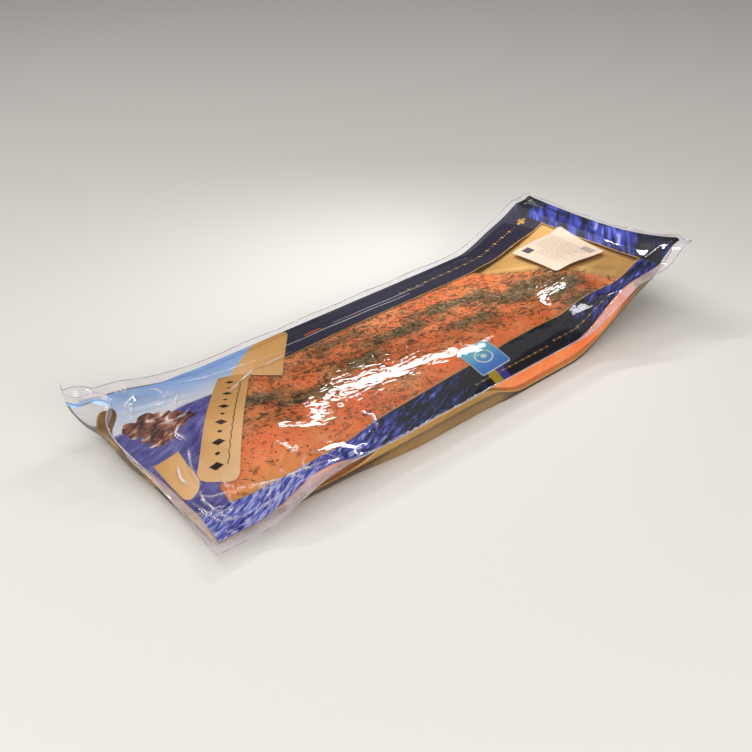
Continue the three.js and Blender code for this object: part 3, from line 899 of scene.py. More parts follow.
def crease_height(x, y, line, width, height):
    """A sharp-backed fold: a hill over the distance to a polyline, which dies away at its ends."""
    best = np.full(np.shape(x), 1e9)
    place = np.zeros(np.shape(x))
    lengths = np.hypot(*np.diff(np.array(line, float), axis=0).T)
    done = 0.0
    for (ax, ay), (bx, by), length in zip(line[:-1], line[1:], lengths):
        share = np.clip(((x - ax) * (bx - ax) + (y - ay) * (by - ay)) / length**2, 0.0, 1.0)
        distance = np.hypot(x - mix(ax, bx, share), y - mix(ay, by, share))
        nearer = distance < best
        best = np.where(nearer, distance, best)
        place = np.where(nearer, done + share * length, place)
        done += length
    taper = np.clip(np.minimum(place, done - place) / (CREASE_TAPER * done) + CREASE_END, 0.0, 1.0)
    return height * taper * np.exp(-((best / width) ** CREASE_POWER))


crinkles = []
for left, right, near, far, count in CRINKLES:
    for _ in range(count):
        start = np.array([crumple.uniform(left, right), crumple.uniform(near, far)])
        heading = crumple.uniform(0, np.pi)
        first = crumple.uniform(*CRINKLE_REACH)
        elbow = start + first * np.array([np.cos(heading), np.sin(heading)])
        kinked = heading + crumple.normal(0, 0.7)
        end = elbow + 0.7 * first * np.array([np.cos(kinked), np.sin(kinked)])
        line = [tuple(start), tuple(elbow), tuple(end)]
        crinkles.append((line, crumple.uniform(*CRINKLE_WIDTH), crumple.uniform(*CRINKLE_HEIGHT)))
swells = [
    (crumple.uniform(0, 2 * np.pi), crumple.uniform(22.0, 70.0), crumple.uniform(0, 2 * np.pi))
    for _ in range(UNDULATIONS)
]


def film_folds(x, y):
    """Folds, crinkles and slow waves of the top film, stronger outside the tight part over the
    fish, and fading to nothing at the seal lines."""
    height = np.zeros(np.shape(x))
    for line, width, rise in [*CREASES.values(), *crinkles]:
        height += crease_height(x, y, line, width, rise)
    for heading, length, phase in swells:
        wave = np.sin(2 * np.pi * (x * np.cos(heading) + y * np.sin(heading)) / length + phase)
        height += UNDULATION_HEIGHT * wave * (1 + step(x, -190, -240, 6.0) + step(x, 240, 262, 1.5))
    near_y, _, far_y, _ = side_seals(x)
    inside = np.minimum(np.minimum(y - near_y, far_y - y), np.minimum(x - left_seal(y), right_seal - x))
    return height * np.clip(inside / FOLD_FADE, 0.0, 1.0)


def printed_film(x, y):
    """Height of the top film with its folds, and of the straight rim where it goes on past the
    seal lines: the rim rises by its tilt."""
    near_y, _, far_y, _ = side_seals(x)
    inner_y = np.clip(y, near_y, far_y)
    inner_x = np.clip(x, left_seal(y), right_seal)
    near_rim = (inner_y - y) * np.tan(near_tilt(x)) * (y < near_y)
    far_rim = (y - inner_y) * np.tan(far_tilt(x)) * (y > far_y)
    return film_height(inner_x, inner_y) + film_folds(inner_x, inner_y) + near_rim + far_rim


def ink_patch(name, x, y, layer, material, masks=None):
    """A field of ink under the film, each layer a little nearer to the film than the one before."""
    z = printed_film(x, y) - GROUND_DEPTH + LAYER * layer
    masks = {key: [values] for key, values in (masks or {}).items()}
    return piece_from_grids(name, [np.stack([x, y, z], axis=2)], material, masks)


def ruled(first, second, across_count):
    """A plan grid between two curves, each given as (x, y) arrays over the same share."""
    share = np.linspace(0, 1, across_count)[None, :]
    (ax, ay), (bx, by) = first, second
    return mix(ax[:, None], bx[:, None], share), mix(ay[:, None], by[:, None], share)


def window_near(x):
    """The window's near edge on the drawn-in film, smoothed between its measured places."""
    ends = [np.interp(x + shift, WINDOW_NEAR_X, WINDOW_NEAR_Y) for shift in (-9, -3, 3, 9)]
    return sum(ends) / 4


def water_strokes():
    """Pale strokes of water on near-black ink: one stretched, warped noise through a ramp."""
    group, start, end = new_group(
        "water_strokes",
        [("Vector", "NodeSocketVector"), ("Scale", "NodeSocketFloat"), ("Shift", "NodeSocketFloat")],
        [("Color", "NodeSocketColor")],
    )
    strokes = noise(group, start.outputs["Vector"], start.outputs["Scale"], 4.0, 0.55, 0.9)
    moved = maths(group, "ADD", strokes, start.outputs["Shift"])
    feed(group, end, {"Color": colour_ramp(group, moved, STROKE_STOPS)})
    return group


stroke_group = water_strokes()


def ink_material(name, colour_of):
    """Ink on film: its own colour from the front, and a dull grey-brown back. colour_of(tree)
    gives the front's colour."""
    material, tree, shader = start_material(name)
    front = colour_of(tree)
    behind = add(tree, "ShaderNodeNewGeometry").outputs["Backfacing"]
    colour = mix_colour(tree, behind, front, paint(*INK_BACK))
    feed(tree, shader, {"Base Color": colour, "Roughness": 0.42, "Specular IOR Level": 0.2})
    return material


def stroked(tree, scale, turn, stretch):
    """Water strokes, turned and stretched on the piece, darker where its mask "watery" is low."""
    shift = maths(tree, "MULTIPLY_ADD", mask(tree, "watery"), 0.32, -0.24)
    inputs = {"Vector": object_coordinates(tree, stretch, turn), "Scale": scale, "Shift": shift}
    return add(tree, "ShaderNodeGroup", inputs, node_tree=stroke_group).outputs["Color"]


def navy_colour(tree):
    """Near-black blue with a faint drift."""
    drift = noise(tree, object_coordinates(tree), 9.0, 2.0)
    return colour_ramp(tree, drift, [(0.35, NAVY_DEEP), (0.65, NAVY)])


def field_grid(left, right, low, high, nominal):
    """Plan grid of a field of ink: columns between a left and a right line, which are functions of
    y, and rows between a low and a high line, which are functions of x."""
    wide = np.mean(right(np.array(nominal)) - left(np.array(nominal)))
    share = np.linspace(0, 1, int(wide / PRINT_STEP) + 2)[:, None]
    rise = np.linspace(0, 1, int((nominal[1] - nominal[0]) / PRINT_STEP) + 2)[None, :]
    y = mix(*nominal, rise)
    x = mix(left(y), right(y), share)
    return x, mix(low(x), high(x), rise)


def near_seal_line(x):
    """The near edge of the print."""
    return side_seals(x)[0] + SEAL_MARGIN


def far_seal_line(x):
    """The far edge of the print, which runs on over half of the rim."""
    return side_seals(x)[2] + step(x, *FAR_PRINT_OVER) - SEAL_MARGIN


def left_seal_line(y):
    """The left edge of the print."""
    return left_seal(y) + SEAL_MARGIN


def window_left(y):
    """The window's left edge, which the scroll covers."""
    return np.interp(y, WINDOW_LEFT_Y, WINDOW_LEFT_X)


def level(value):
    """A line that stays at one value."""
    return lambda place: value + 0 * place


right_seal_line = level(right_seal + END_PRINT_OVER)
window_right = level(WINDOW_RIGHT)
end_band_left = level(WINDOW_RIGHT + BAND_OVERLAP)
window_far = level(WINDOW_FAR)

far_rows = (WINDOW_FAR, END_ROWS[1])
far_grid = field_grid(window_left, end_band_left, window_far, far_seal_line, far_rows)
ink_patch("far_band_ink", *far_grid, 1, ink_material("navy_ink", navy_colour))

near_grid = field_grid(left_seal_line, end_band_left, near_seal_line, window_near, NEAR_ROWS)
near_ink = ink_material("near_water_ink", lambda tree: stroked(tree, *NEAR_STROKES))
ink_patch("near_band_ink", *near_grid, 1, near_ink, {"watery": along(near_grid[0], NEAR_WATERY)})

end_grid = field_grid(window_right, right_seal_line, near_seal_line, far_seal_line, END_ROWS)
end_ink = ink_material("end_water_ink", lambda tree: stroked(tree, *END_STROKES))
ink_patch("end_band_ink", *end_grid, 2, end_ink, {"watery": along(end_grid[1], END_WATERY)})

left_grid = field_grid(left_seal_line, window_left, near_seal_line, far_seal_line, END_ROWS)
sky_share = np.clip((left_grid[1] - HORIZON) / (HALF_WIDTH - HORIZON), 0.0, 1.0)
shore_mask = step(left_grid[1], HORIZON - 1.0, HORIZON + 1.0, 1.0)


def landscape_colour(tree):
    """Violet-blue water with soft ripples below the horizon, and a pale haze under a blue sky."""
    ripples = noise(tree, object_coordinates(tree, (1, 3.5, 1), 12), 60.0, 4.0, 0.55, 0.6)
    water = colour_ramp(tree, ripples, WATER_STOPS)
    sky = colour_ramp(tree, mask(tree, "sky"), SKY_STOPS)
    return mix_colour(tree, mask(tree, "above_horizon"), water, sky)


left_ink = ink_material("landscape_ink", landscape_colour)
ink_patch("left_field_ink", *left_grid, 0, left_ink, {"sky": sky_share, "above_horizon": shore_mask})


# ---------------------------------------------------------------------------------------------
# Print, figures. Plain rocky islets on the water, a tan scroll with a chain of dark lozenges, the
# thin gold line round the window, a blue patch with a pale ring and two tabs, and on the dark
# bands chains of small gold lozenges, a pale double line, a red line and a gold cross.
ISLETS = [
    (-262.0, 44.0, 17.0, 12.0, 0.9),
    (-243.0, 42.0, 13.0, 11.0, 0.35),
    (-252.0, 28.0, 20.0, 8.0, 0.15),
    (-231.0, 33.0, 10.0, 6.0, 0.6),
]
ISLET_STOPS = [
    (0.34, (40, 32, 36)),
    (0.44, (104, 56, 44)),
    (0.54, (172, 108, 80)),
    (0.64, (250, 240, 226)),
]
SCROLL_TOP, SCROLL_FOOT = ((-171.0, 71.0), (-145.0, 58.0)), ((-261.0, -30.0), (-236.0, -56.0))
SCROLL_TAIL = ((-127.0, 32.0), (-160.0, 68.0)), ((-67.0, 103.5), (-113.0, 103.5))
SCROLL_FOLD = ((-278.5, 5.0), (-254.0, 6.0)), ((-278.5, -45.0), (-259.0, -37.0))
SCROLL_STOPS = [
    (0.0, (206, 156, 84)),
    (0.25, (226, 176, 104)),
    (0.6, (244, 202, 142)),
    (1.0, (255, 228, 182)),
]
SCROLL_ROUND, SCROLL_LENGTHWAYS, SCROLL_ACROSS, SCROLL_SHADE_ACROSS = 9.0, 90, 26, 0.10
ORNAMENT_STOPS = [(0.3, (44, 30, 24)), (0.7, (62, 44, 34))]
LOZENGES, CHAIN_START, CHAIN_END, CHAIN_SHIFT = 11, 0.10, 0.90, -2.2
LOZENGE_TALL, LOZENGE_WIDE, BEAD_TALL, BEAD_WIDE = (4.2, 6.4), (2.6, 3.8), 0.45, 0.5
RULE_SHIFT, RULE_WAVE, RULE_WAVES, RULE_WIDTH = 7.4, 0.5, 90, 0.7
PATCH_CENTRE, PATCH_HALF, PATCH_TURN, PATCH_CORNER = (26.5, -72.0), (19.5, 17.0), 2.0, 3.0
PATCH_STOPS = [
    (0.0, (64, 126, 206)),
    (0.42, (96, 162, 222)),
    (0.60, (112, 190, 214)),
    (1.0, (150, 212, 226)),
]
PATCH_FRAME, PATCH_FRAME_STOPS = 0.8, [(0.3, (206, 220, 224)), (0.7, (232, 236, 230))]
PATCH_RINGS = [("patch_ring", (10.5, 8.0), 0.17), ("patch_bead", (3.4, 2.6), 1.0)]
TABS = [
    ("tab_yellow_ink", 13.5, 24.0, [(0.3, (206, 176, 40)), (0.7, (175, 149, 34))]),
    ("tab_violet_ink", 24.0, 34.0, [(0.3, (84, 74, 168)), (0.7, (71, 62, 142))]),
]
TAB_ROWS = (-98.0, -88.0)
LINE_WIDTH, LINE_FAR_START, LINE_NEAR_START = 1.1, -134.0, -253.0
LINE_STOPS = [(0.3, (196, 146, 66)), (0.7, (232, 190, 112))]


def disc_grid(count, rings):
    """Polar shares for a piece seen from above: angles once round along the second way, and radii
    from the centre to the edge along the first."""
    return np.linspace(0, 2 * np.pi, count)[None, :], np.linspace(0, 1, rings)[:, None]


def plain_ink(name, stops, scale, stretch=(1, 1, 1), turn=0.0, attribute=None):
    """Ink whose colour wanders through a ramp by noise, or follows an attribute of the piece."""

    def colour(tree):
        factor = noise(tree, object_coordinates(tree, stretch, turn), scale, 4.0, 0.6, 0.5)
        if attribute:
            factor = maths(tree, "MULTIPLY_ADD", factor, 0.35, mask(tree, attribute))
            factor = maths(tree, "SUBTRACT", factor, 0.17)
        return colour_ramp(tree, factor, stops)

    return ink_material(name, colour)


islet_ink = plain_ink("islet_ink", ISLET_STOPS, 75.0, (1, 2.0, 1), 15)
angle, radius = disc_grid(49, 12)
for number, (middle_x, middle_y, reach_x, reach_y, phase) in enumerate(ISLETS):
    crag = 1 + 0.18 * np.sin(3 * angle + 6 * phase) + 0.12 * np.sin(5 * angle + 9 * phase)
    crag = crag + 0.06 * np.sin(9 * angle)
    islet_x = middle_x + reach_x * crag * radius * np.cos(angle)
    islet_y = middle_y + reach_y * crag * radius * np.sin(angle)
    islet_x = np.maximum(islet_x, left_seal(islet_y) + 1.0)
    ink_patch(f"islet_{number + 1}", islet_x, islet_y, 1, islet_ink)


def quad_grid(start_edge, stop_edge, count, across, round_by):
    """A plan grid between two straight edges, each ((x, y), (x, y)). The corners of the second edge
    are rounded by drawing the rows in along a quarter circle."""
    share = np.linspace(0, 1, count)[:, None]
    side = np.linspace(-1, 1, across)[None, :]
    (a, b), (c, d) = np.array(start_edge), np.array(stop_edge)
    length = np.linalg.norm((c + d - a - b) / 2)
    left_over = np.clip(1 - (1 - share) * length / round_by, 0.0, 1.0)
    width = np.linalg.norm(d - c) / 2
    drawn = 1 - (round_by / width) * (1 - np.sqrt(1 - left_over**2))
    along_share = (side * drawn + 1) / 2
    x = mix(mix(a[0], b[0], along_share), mix(c[0], d[0], along_share), share)
    y = mix(mix(a[1], b[1], along_share), mix(c[1], d[1], along_share), share)
    return x, y


scroll_ink = plain_ink("scroll_ink", SCROLL_STOPS, 30.0, attribute="shade")
for name, edges, layer, shades in (
    ("scroll_tail", SCROLL_TAIL, 2, (0.55, 0.15)),
    ("scroll_fold", SCROLL_FOLD, 2, (0.35, 0.75)),
    ("scroll_panel", (SCROLL_TOP, SCROLL_FOOT), 3, (0.15, 0.75)),
):
    grid = quad_grid(*edges, SCROLL_LENGTHWAYS, SCROLL_ACROSS, SCROLL_ROUND)
    shade = mix(*shades, np.linspace(0, 1, SCROLL_LENGTHWAYS))[:, None]
    shade = shade + SCROLL_SHADE_ACROSS * np.linspace(-1, 1, SCROLL_ACROSS)[None, :]
    ink_patch(name, *grid, layer, scroll_ink, {"shade": shade})

ornament_ink = plain_ink("ornament_ink", ORNAMENT_STOPS, 120.0)
top_middle, foot_middle = (np.mean(edge, axis=0) for edge in (SCROLL_TOP, SCROLL_FOOT))
scroll_way = unit(foot_middle - top_middle)
scroll_side = np.array([-scroll_way[1], scroll_way[0]])
for number in range(LOZENGES):
    share = mix(CHAIN_START, CHAIN_END, number / (LOZENGES - 1))
    centre = mix(top_middle, foot_middle, share) + CHAIN_SHIFT * scroll_side
    tall, wide = mix(*LOZENGE_TALL, share), mix(*LOZENGE_WIDE, share)
    if number % 2:
        tall, wide = tall * BEAD_TALL, wide * BEAD_WIDE
    spoke, ring = disc_grid(25, 5)
    reach = ring / (np.abs(np.cos(spoke)) + np.abs(np.sin(spoke)))
    u, v = wide * reach * np.cos(spoke), tall * reach * np.sin(spoke)
    x, y = (centre[axis] + u * scroll_way[axis] + v * scroll_side[axis] for axis in (0, 1))
    ink_patch(f"lozenge_{number + 1}", x, y, 4, ornament_ink)
rule_share = np.linspace(CHAIN_START, CHAIN_END, 70)[:, None]
rule_out = RULE_SHIFT + RULE_WAVE * np.sin(RULE_WAVES * rule_share)
rule = mix(top_middle, foot_middle, rule_share) + rule_out * scroll_side
ink_patch("scroll_rule", *ruled(rule.T, (rule + RULE_WIDTH * scroll_side).T, 3), 4, ornament_ink)

line_ink = plain_ink("gold_line_ink", LINE_STOPS, 50.0)
line_x = np.linspace(LINE_FAR_START, WINDOW_RIGHT, 260)
far_line = window_far(line_x)
ink_patch("window_line_far", *ruled((line_x, far_line - LINE_WIDTH), (line_x, far_line), 3), 3, line_ink)
line_x = np.linspace(LINE_NEAR_START, WINDOW_RIGHT, 340)
near_line = window_near(line_x)
near_line_grid = ruled((line_x, near_line), (line_x, near_line + LINE_WIDTH), 3)
ink_patch("window_line_near", *near_line_grid, 3, line_ink)
line_y = np.linspace(window_near(WINDOW_RIGHT), WINDOW_FAR, 90)
end_line = window_right(line_y)
end_line_grid = ruled((end_line - LINE_WIDTH, line_y), (end_line, line_y), 3)
ink_patch("window_line_end", *[part.T for part in end_line_grid], 3, line_ink)

patch_u, patch_v = grid_of(np.linspace(-1, 1, 61), np.linspace(-1, 1, 53))


def rounded_square(u, v, half_u, half_v, corner):
    """A plan rectangle whose corners are drawn in, ring by ring, to a round of the corner's radius."""
    x, y = u * half_u, v * half_v
    over_x = np.maximum(np.abs(x) - half_u + corner, 0)
    over_y = np.maximum(np.abs(y) - half_v + corner, 0)
    pull = corner_pull(over_x, over_y)
    return x - np.sign(x) * over_x * (1 - pull), y - np.sign(y) * over_y * (1 - pull)


def on_patch(u, v):
    """Plan of a figure of the blue patch, from its offsets on the patch."""
    return turned(*PATCH_CENTRE, u, v, np.radians(PATCH_TURN))


frame_ink = plain_ink("pale_frame_ink", PATCH_FRAME_STOPS, 60.0)
patch_ink = plain_ink("blue_patch_ink", PATCH_STOPS, 20.0, attribute="shade")
outer = rounded_square(patch_u, patch_v, *PATCH_HALF, PATCH_CORNER)
ink_patch("patch_frame", *on_patch(*outer), 4, frame_ink)
field_half = [half - PATCH_FRAME for half in PATCH_HALF]
inner = rounded_square(patch_u, patch_v, *field_half, PATCH_CORNER - 0.6)
ink_patch("patch_field", *on_patch(*inner), 5, patch_ink, {"shade": (patch_v + 1) / 2})
spoke, ring = disc_grid(61, 8)
for name, (reach_u, reach_v), thickness in PATCH_RINGS:
    band = 1 - thickness * (1 - ring)
    oval = on_patch(reach_u * band * np.cos(spoke), reach_v * band * np.sin(spoke))
    ink_patch(name, *oval, 6, frame_ink)
for name, left, right, stops in TABS:
    tab = field_grid(level(left), level(right), near_seal_line, level(TAB_ROWS[1]), TAB_ROWS)
    ink_patch(name, *tab, 3, plain_ink(name, stops, 40.0))

LOZENGE_ROWS = [
    ("far_chain", 62.0, 236.0, 80.0, 3.0, 45),
    ("near_chain", -4.0, 92.0, -93.0, 1.2, 34),
    ("near_end_chain", 104.0, 186.0, -91.0, 1.3, 29),
]
LINE_ROWS = [
    ("pale_line_a", -96.0, 66.0, 76.0, 70.0, 1.1),
    ("pale_line_b", -30.0, 92.0, 79.5, 76.0, 0.9),
    ("red_line", -66.0, -44.0, 78.5, 78.0, 3.4),
]
LINK_WIDE, BEAD_WIDE_MM, LINK_BEAD = 1.3, 0.8, 0.4
CROSS_CENTRE, CROSS_ARM, CROSS_WIDTH, CROSS_TURN = (247.0, 80.0), 5.0, 1.7, -8.0
stroke_ink = plain_ink("gold_stroke_ink", [(0.3, (176, 138, 62)), (0.7, (216, 180, 96))], 80.0)
pale_ink = plain_ink("pale_line_ink", [(0.3, (206, 202, 206)), (0.7, (236, 232, 232))], 80.0)
red_ink = plain_ink("red_line_ink", [(0.3, (186, 62, 44)), (0.7, (212, 88, 62))], 80.0)
for name, start, stop, line_height, half_tall, count in LOZENGE_ROWS:
    grids = []
    for number, place in enumerate(np.linspace(start, stop, count)):
        tall, wide = (half_tall * LINK_BEAD, BEAD_WIDE_MM) if number % 3 else (half_tall, LINK_WIDE)
        x = place + wide * np.array([[-1.0, 0.0], [0.0, 1.0]])
        y = line_height + tall * np.array([[0.0, 1.0], [-1.0, 0.0]])
        grids.append(np.stack([x, y, printed_film(x, y) - GROUND_DEPTH + 3 * LAYER], axis=2))
    piece_from_grids(name, grids, stroke_ink)
for name, start, stop, start_y, stop_y, wide in LINE_ROWS:
    x = np.linspace(start, stop, 60)
    y = np.linspace(start_y, stop_y, 60) + 0.5 * np.sin(x / 9.0)
    swelling = wide * (0.6 + 0.4 * np.sin(np.linspace(0, np.pi, 60)))
    ink = red_ink if name == "red_line" else pale_ink
    ink_patch(name, *ruled((x, y), (x, y + swelling), 3), 3, ink)
for number, (u, v) in enumerate(((CROSS_ARM, CROSS_WIDTH), (CROSS_WIDTH, CROSS_ARM))):
    bar = grid_of(np.linspace(-u, u, 7), np.linspace(-v, v, 7))
    bar = turned(*CROSS_CENTRE, *bar, np.radians(CROSS_TURN))
    ink_patch(f"cross_bar_{number + 1}", *bar, 3 + number, stroke_ink)


# ---------------------------------------------------------------------------------------------
# Top film and welded rim. One clear sheet over everything, drawn tight over the dill so that its
# gloss breaks up there. Outside the seal lines both films are welded into a flat, hazy rim, which
# stands up along the near side and curls at the far left corner. Its cut edge is a bright line.
# Along the backs of the sharp folds the film carries painted white highlights.
FILM_STEP = 1.3
EDGE_BEAD = 0.42
RIM_WAVE, RIM_WAVE_LENGTH = 0.5, 23.0
# Folds narrower than SOFT_FOLD and crinkles higher than FOLD_LEAST get painted white highlights of the width
# and strength below.
SOFT_FOLD, FOLD_LEAST = 2.3, 0.35
FOLD_HIGHLIGHT, CRINKLE_HIGHLIGHT = (0.85, 1.0), (0.68, 0.8)
RIM_STEP, RIM_MARGIN, RIM_CLEARING = 1.5, 1.5, (0.0, 80.0, 0.55)
TIGHT_NEAR, TIGHT_LEFT, TIGHT_RIGHT = (-84.0, -74.0, 1.0), (4.0, 14.0, 1.0), (2.0, -8.0, 1.0)
TOP_FILM_TINT, TOP_FILM_GLOSS = (252, 252, 254), 0.95
# The first colour is the welded haze; the second is the painted highlight along the folds.
MILK, HIGHLIGHT_WHITE = (196, 182, 190), (250, 246, 248)


def rim_shares(span, rim):
    """Shares from one seal line to the other, and the distance out over the rim at both ends."""
    outer = np.linspace(rim, 0, int(rim / RIM_STEP) + 1)[:-1]
    inner = np.linspace(0, 1, int(span / FILM_STEP))
    share = np.concatenate([0 * outer, inner, 1 + 0 * outer])
    return share, np.concatenate([-outer, 0 * inner, outer[::-1]])


def painted_fold_highlights(x, y):
    """Painted highlights: white lines on the sharp backs of the folds, 1 on the line and fading within a
    millimetre.
    """
    lines = [(line, *FOLD_HIGHLIGHT) for line, width, _ in CREASES.values() if width < SOFT_FOLD]
    lines += [(line, *CRINKLE_HIGHLIGHT) for line, _, rise in crinkles if rise > FOLD_LEAST]
    white = np.zeros(np.shape(x))
    for line, width, whiteness in lines:
        white = np.maximum(white, crease_height(x, y, line, width, whiteness))
    return white


def film_sheet():
    """The whole top film: between the seal lines at its folded height, and beyond them straight
    out along the tilt of each rim, with slow waves towards the cut edge."""
    column, column_rim = rim_shares(right_seal - LEFT_EDGE - END_RIM, END_RIM)
    row, row_rim = rim_shares(2 * (HALF_WIDTH - SIDE_RIM), SIDE_RIM)
    nominal = mix(SIDE_RIM - HALF_WIDTH, HALF_WIDTH - SIDE_RIM, row)[None, :]
    x = mix(left_seal(nominal), right_seal, column[:, None])
    near_y, _, far_y, _ = side_seals(x)
    y = mix(near_y, far_y, row[None, :])
    z = printed_film(x, y)
    side_tilt = np.where(row_rim[None, :] < 0, near_tilt(x), far_tilt(x))
    end_tilt = np.where(column_rim[:, None] < 0, left_tilt(nominal), 0.0)
    out_y, out_x = row_rim[None, :], column_rim[:, None]
    wave = RIM_WAVE * np.sin(x / RIM_WAVE_LENGTH * 2 + y / RIM_WAVE_LENGTH * 2.6)
    wave = wave * np.clip(np.maximum(np.abs(out_x) / END_RIM, np.abs(out_y) / SIDE_RIM), 0, 1)
    rise = np.abs(out_y) * np.sin(side_tilt) + np.abs(out_x) * np.sin(end_tilt)
    points = [x + out_x * np.cos(end_tilt), y + out_y * np.cos(side_tilt), z + rise + wave]
    far_bare = out_y - step(x, *FAR_PRINT_OVER)
    side_bare = np.where(out_y > 0, far_bare, -out_y)
    end_bare = np.where(out_x > 0, out_x - END_PRINT_OVER, -out_x)
    rim = np.clip(np.maximum(side_bare, end_bare) / RIM_MARGIN, 0.0, 1.0)
    return np.stack(points, axis=2), rim * (1 - step(y, *RIM_CLEARING)), x, y


def top_film_material():
    """Clear film with two kinds of gloss: smooth with slow waves, and broken up over the fish. It
    is hazy where it is welded, and painted white highlights lie along the backs of the sharp folds."""
    material, tree, shader = start_material("clear_top_film")
    tree.nodes.remove(shader)
    slow = noise(tree, object_coordinates(tree), 55.0, 2.0, 0.5)
    dents = noise(tree, object_coordinates(tree, (0.45, 1.3, 1), -10), 170.0, 1.5, 0.45, 0.5)
    dented = maths(tree, "MULTIPLY", dents, mask(tree, "over_fish"))
    waves = bump(tree, slow, 0.08, 0.0012)
    inputs = {"Height": dented, "Strength": 0.40, "Distance": 0.0009, "Normal": waves}
    normal = add(tree, "ShaderNodeBump", inputs).outputs["Normal"]
    look = clear_film(tree, normal, TOP_FILM_TINT, 0.05, TOP_FILM_GLOSS)
    # Painted highlights: milky white lines along the folds, broken up by the haze noise.
    white = mask(tree, "fold_highlight_paint")
    milk_colour = mix_colour(tree, white, paint(*MILK), paint(*HIGHLIGHT_WHITE))
    milk = add(tree, "ShaderNodeBsdfDiffuse", {"Color": milk_colour, "Normal": normal}).outputs[0]
    haze_noise = noise(tree, object_coordinates(tree), 38.0, 4.0, 0.6, 0.8)
    haze = maths(tree, "MULTIPLY", mask(tree, "welded"), ranged(tree, haze_noise, 0.3, 0.7, 0.22, 0.62))
    lines = maths(tree, "MULTIPLY", white, ranged(tree, haze_noise, 0.4, 0.62))
    inputs = {0: maths(tree, "MAXIMUM", haze, lines), 1: look, 2: milk}
    look = add(tree, "ShaderNodeMixShader", inputs).outputs[0]
    feed(tree, tree.nodes["Material Output"], {"Surface": look})
    return material


film_points, welded, film_x, film_y = film_sheet()
tight = step(film_y, WINDOW_FAR + 2, WINDOW_FAR - 6, 1.0) * step(film_y, *TIGHT_NEAR)
tight = tight * step(film_x - window_left(film_y), *TIGHT_LEFT)
tight = tight * step(film_x - cut_end(film_y), *TIGHT_RIGHT)
tight = tight * (0.6 + 0.4 * np.clip(dill_cover(film_x, film_y), 0, 1))
film_masks = {"welded": [welded], "over_fish": [tight], "fold_highlight_paint": [painted_fold_highlights(film_x, film_y)]}
top_look = top_film_material()
piece_from_grids("top_film", [film_points], top_look, film_masks, replaces=["sealed_pack"])


def bead_grid(path, radius, sides=8):
    """A closed round bead along a closed path: a circle in the plane across the path at each point."""
    forward = unit(np.roll(path, -1, axis=0) - np.roll(path, 1, axis=0))
    across = unit(np.cross(forward, [0.0, 0.0, 1.0]))
    upward = np.cross(across, forward)
    turn = np.linspace(0, 2 * np.pi, sides + 1)[None, :, None]
    bead = path[:, None] + radius * (np.cos(turn) * across[:, None] + np.sin(turn) * upward[:, None])
    return np.concatenate([bead, bead[:1]])


def cut_edge_material():
    """The cut edge of the welded rim: milky, glossy plastic that catches the light."""
    material, tree, shader = start_material("cut_edge")
    drift = noise(tree, object_coordinates(tree), 70.0, 3.0)
    milky = colour_ramp(tree, drift, [(0.3, (136, 130, 146)), (0.7, (196, 192, 202))])
    feed(tree, shader, {"Base Color": milky, "Roughness": 0.18, "Alpha": 0.75})
    return material


rim_path = border_of(film_points)[:-1:2]
piece_from_grids("cut_edge", [bead_grid(rim_path, EDGE_BEAD)], cut_edge_material())


# ---------------------------------------------------------------------------------------------
# Paper label. A small white sticker on the top film at the raised end, turned a little, with
# rounded corners. Rows of thin grey bars and a plain block stand in for its print.
LABEL_CENTRE, LABEL_HALF, LABEL_TURN, LABEL_CORNER = (220.0, 4.0), (32.5, 36.5), -10.0, 4.0
LABEL_UNDER, LABEL_OVER = 0.3, 0.62
LABEL_STEP = 1.6
LABEL_STOPS = [(0.3, (216, 194, 174)), (0.7, (206, 184, 164))]
LABEL_GREY, LABEL_BLACK, LABEL_STRIPE = (122, 112, 106), (34, 28, 28), (88, 80, 80)
FOLD_SHARE, INK_HEIGHT, INK_FADE = 0.3, 0.67, 0.35
ROW_COUNT, ROW_START, ROW_PITCH, ROW_HALF = 11, -17.5, 3.6, 0.38
ROW_LEFT, SHORT_ROW_LEFT, SHORT_ROWS, ROW_RIGHT = -30.0, -14.0, 3, 30.0
WORD_LENGTH, WORD_GAP, RAGGED_END = (2.2, 6.5), 1.1, (2.0, 14.0)
STRIPE_COUNT, STRIPE_PITCH, STRIPE_WIDTH = 11, 1.5, 0.8


def label_surface(u, v, height):
    """Local places on the label, laid on the film at a height above it."""
    x, y = turned(*LABEL_CENTRE, u, v, np.radians(LABEL_TURN))
    return np.stack([x, y, film_height(x, y) + film_folds(x, y) * FOLD_SHARE + height], axis=-1)


def paper_material():
    """Smooth label paper with a fine grain and a faint warm drift."""
    material, tree, shader = start_material("label_paper")
    grain, clouds = grained(tree, 1500.0)
    normal = bump(tree, grain, 0.15, 0.0001)
    colour = colour_ramp(tree, clouds, LABEL_STOPS)
    feed(tree, shader, {"Base Color": colour, "Roughness": 0.55, "Normal": normal})
    return material


label_shares = [np.linspace(-1, 1, int(2 * half / LABEL_STEP)) for half in LABEL_HALF]
label_plan = rounded_square(*grid_of(*label_shares), *LABEL_HALF, LABEL_CORNER)
label_faces = [label_surface(*label_plan, height) for height in (LABEL_OVER, LABEL_UNDER)]
paper = paper_material()
label_slot = {"slot": "label_paper"}
piece_from_grids(
    "paper_label_sheet", shell_grids(*label_faces), paper, replaces=["paper_label"], **label_slot
)


def label_ink(name, colour):
    """Ink on the label, a little uneven as a small printer lays it."""
    material, tree, shader = start_material(name)
    wander = noise(tree, object_coordinates(tree), 700.0, 2.0)
    faded = [int(mix(part, 200, INK_FADE)) for part in colour]
    uneven = colour_ramp(tree, wander, [(0.3, colour), (0.8, faded)])
    feed(tree, shader, {"Base Color": uneven, "Roughness": 0.6})
    return material


def label_bar(u0, u1, v0, v1):
    """A grid for one printed bar of the label."""
    return label_surface(*grid_of(np.linspace(u0, u1, 6), np.linspace(v0, v1, 3)), INK_HEIGHT)


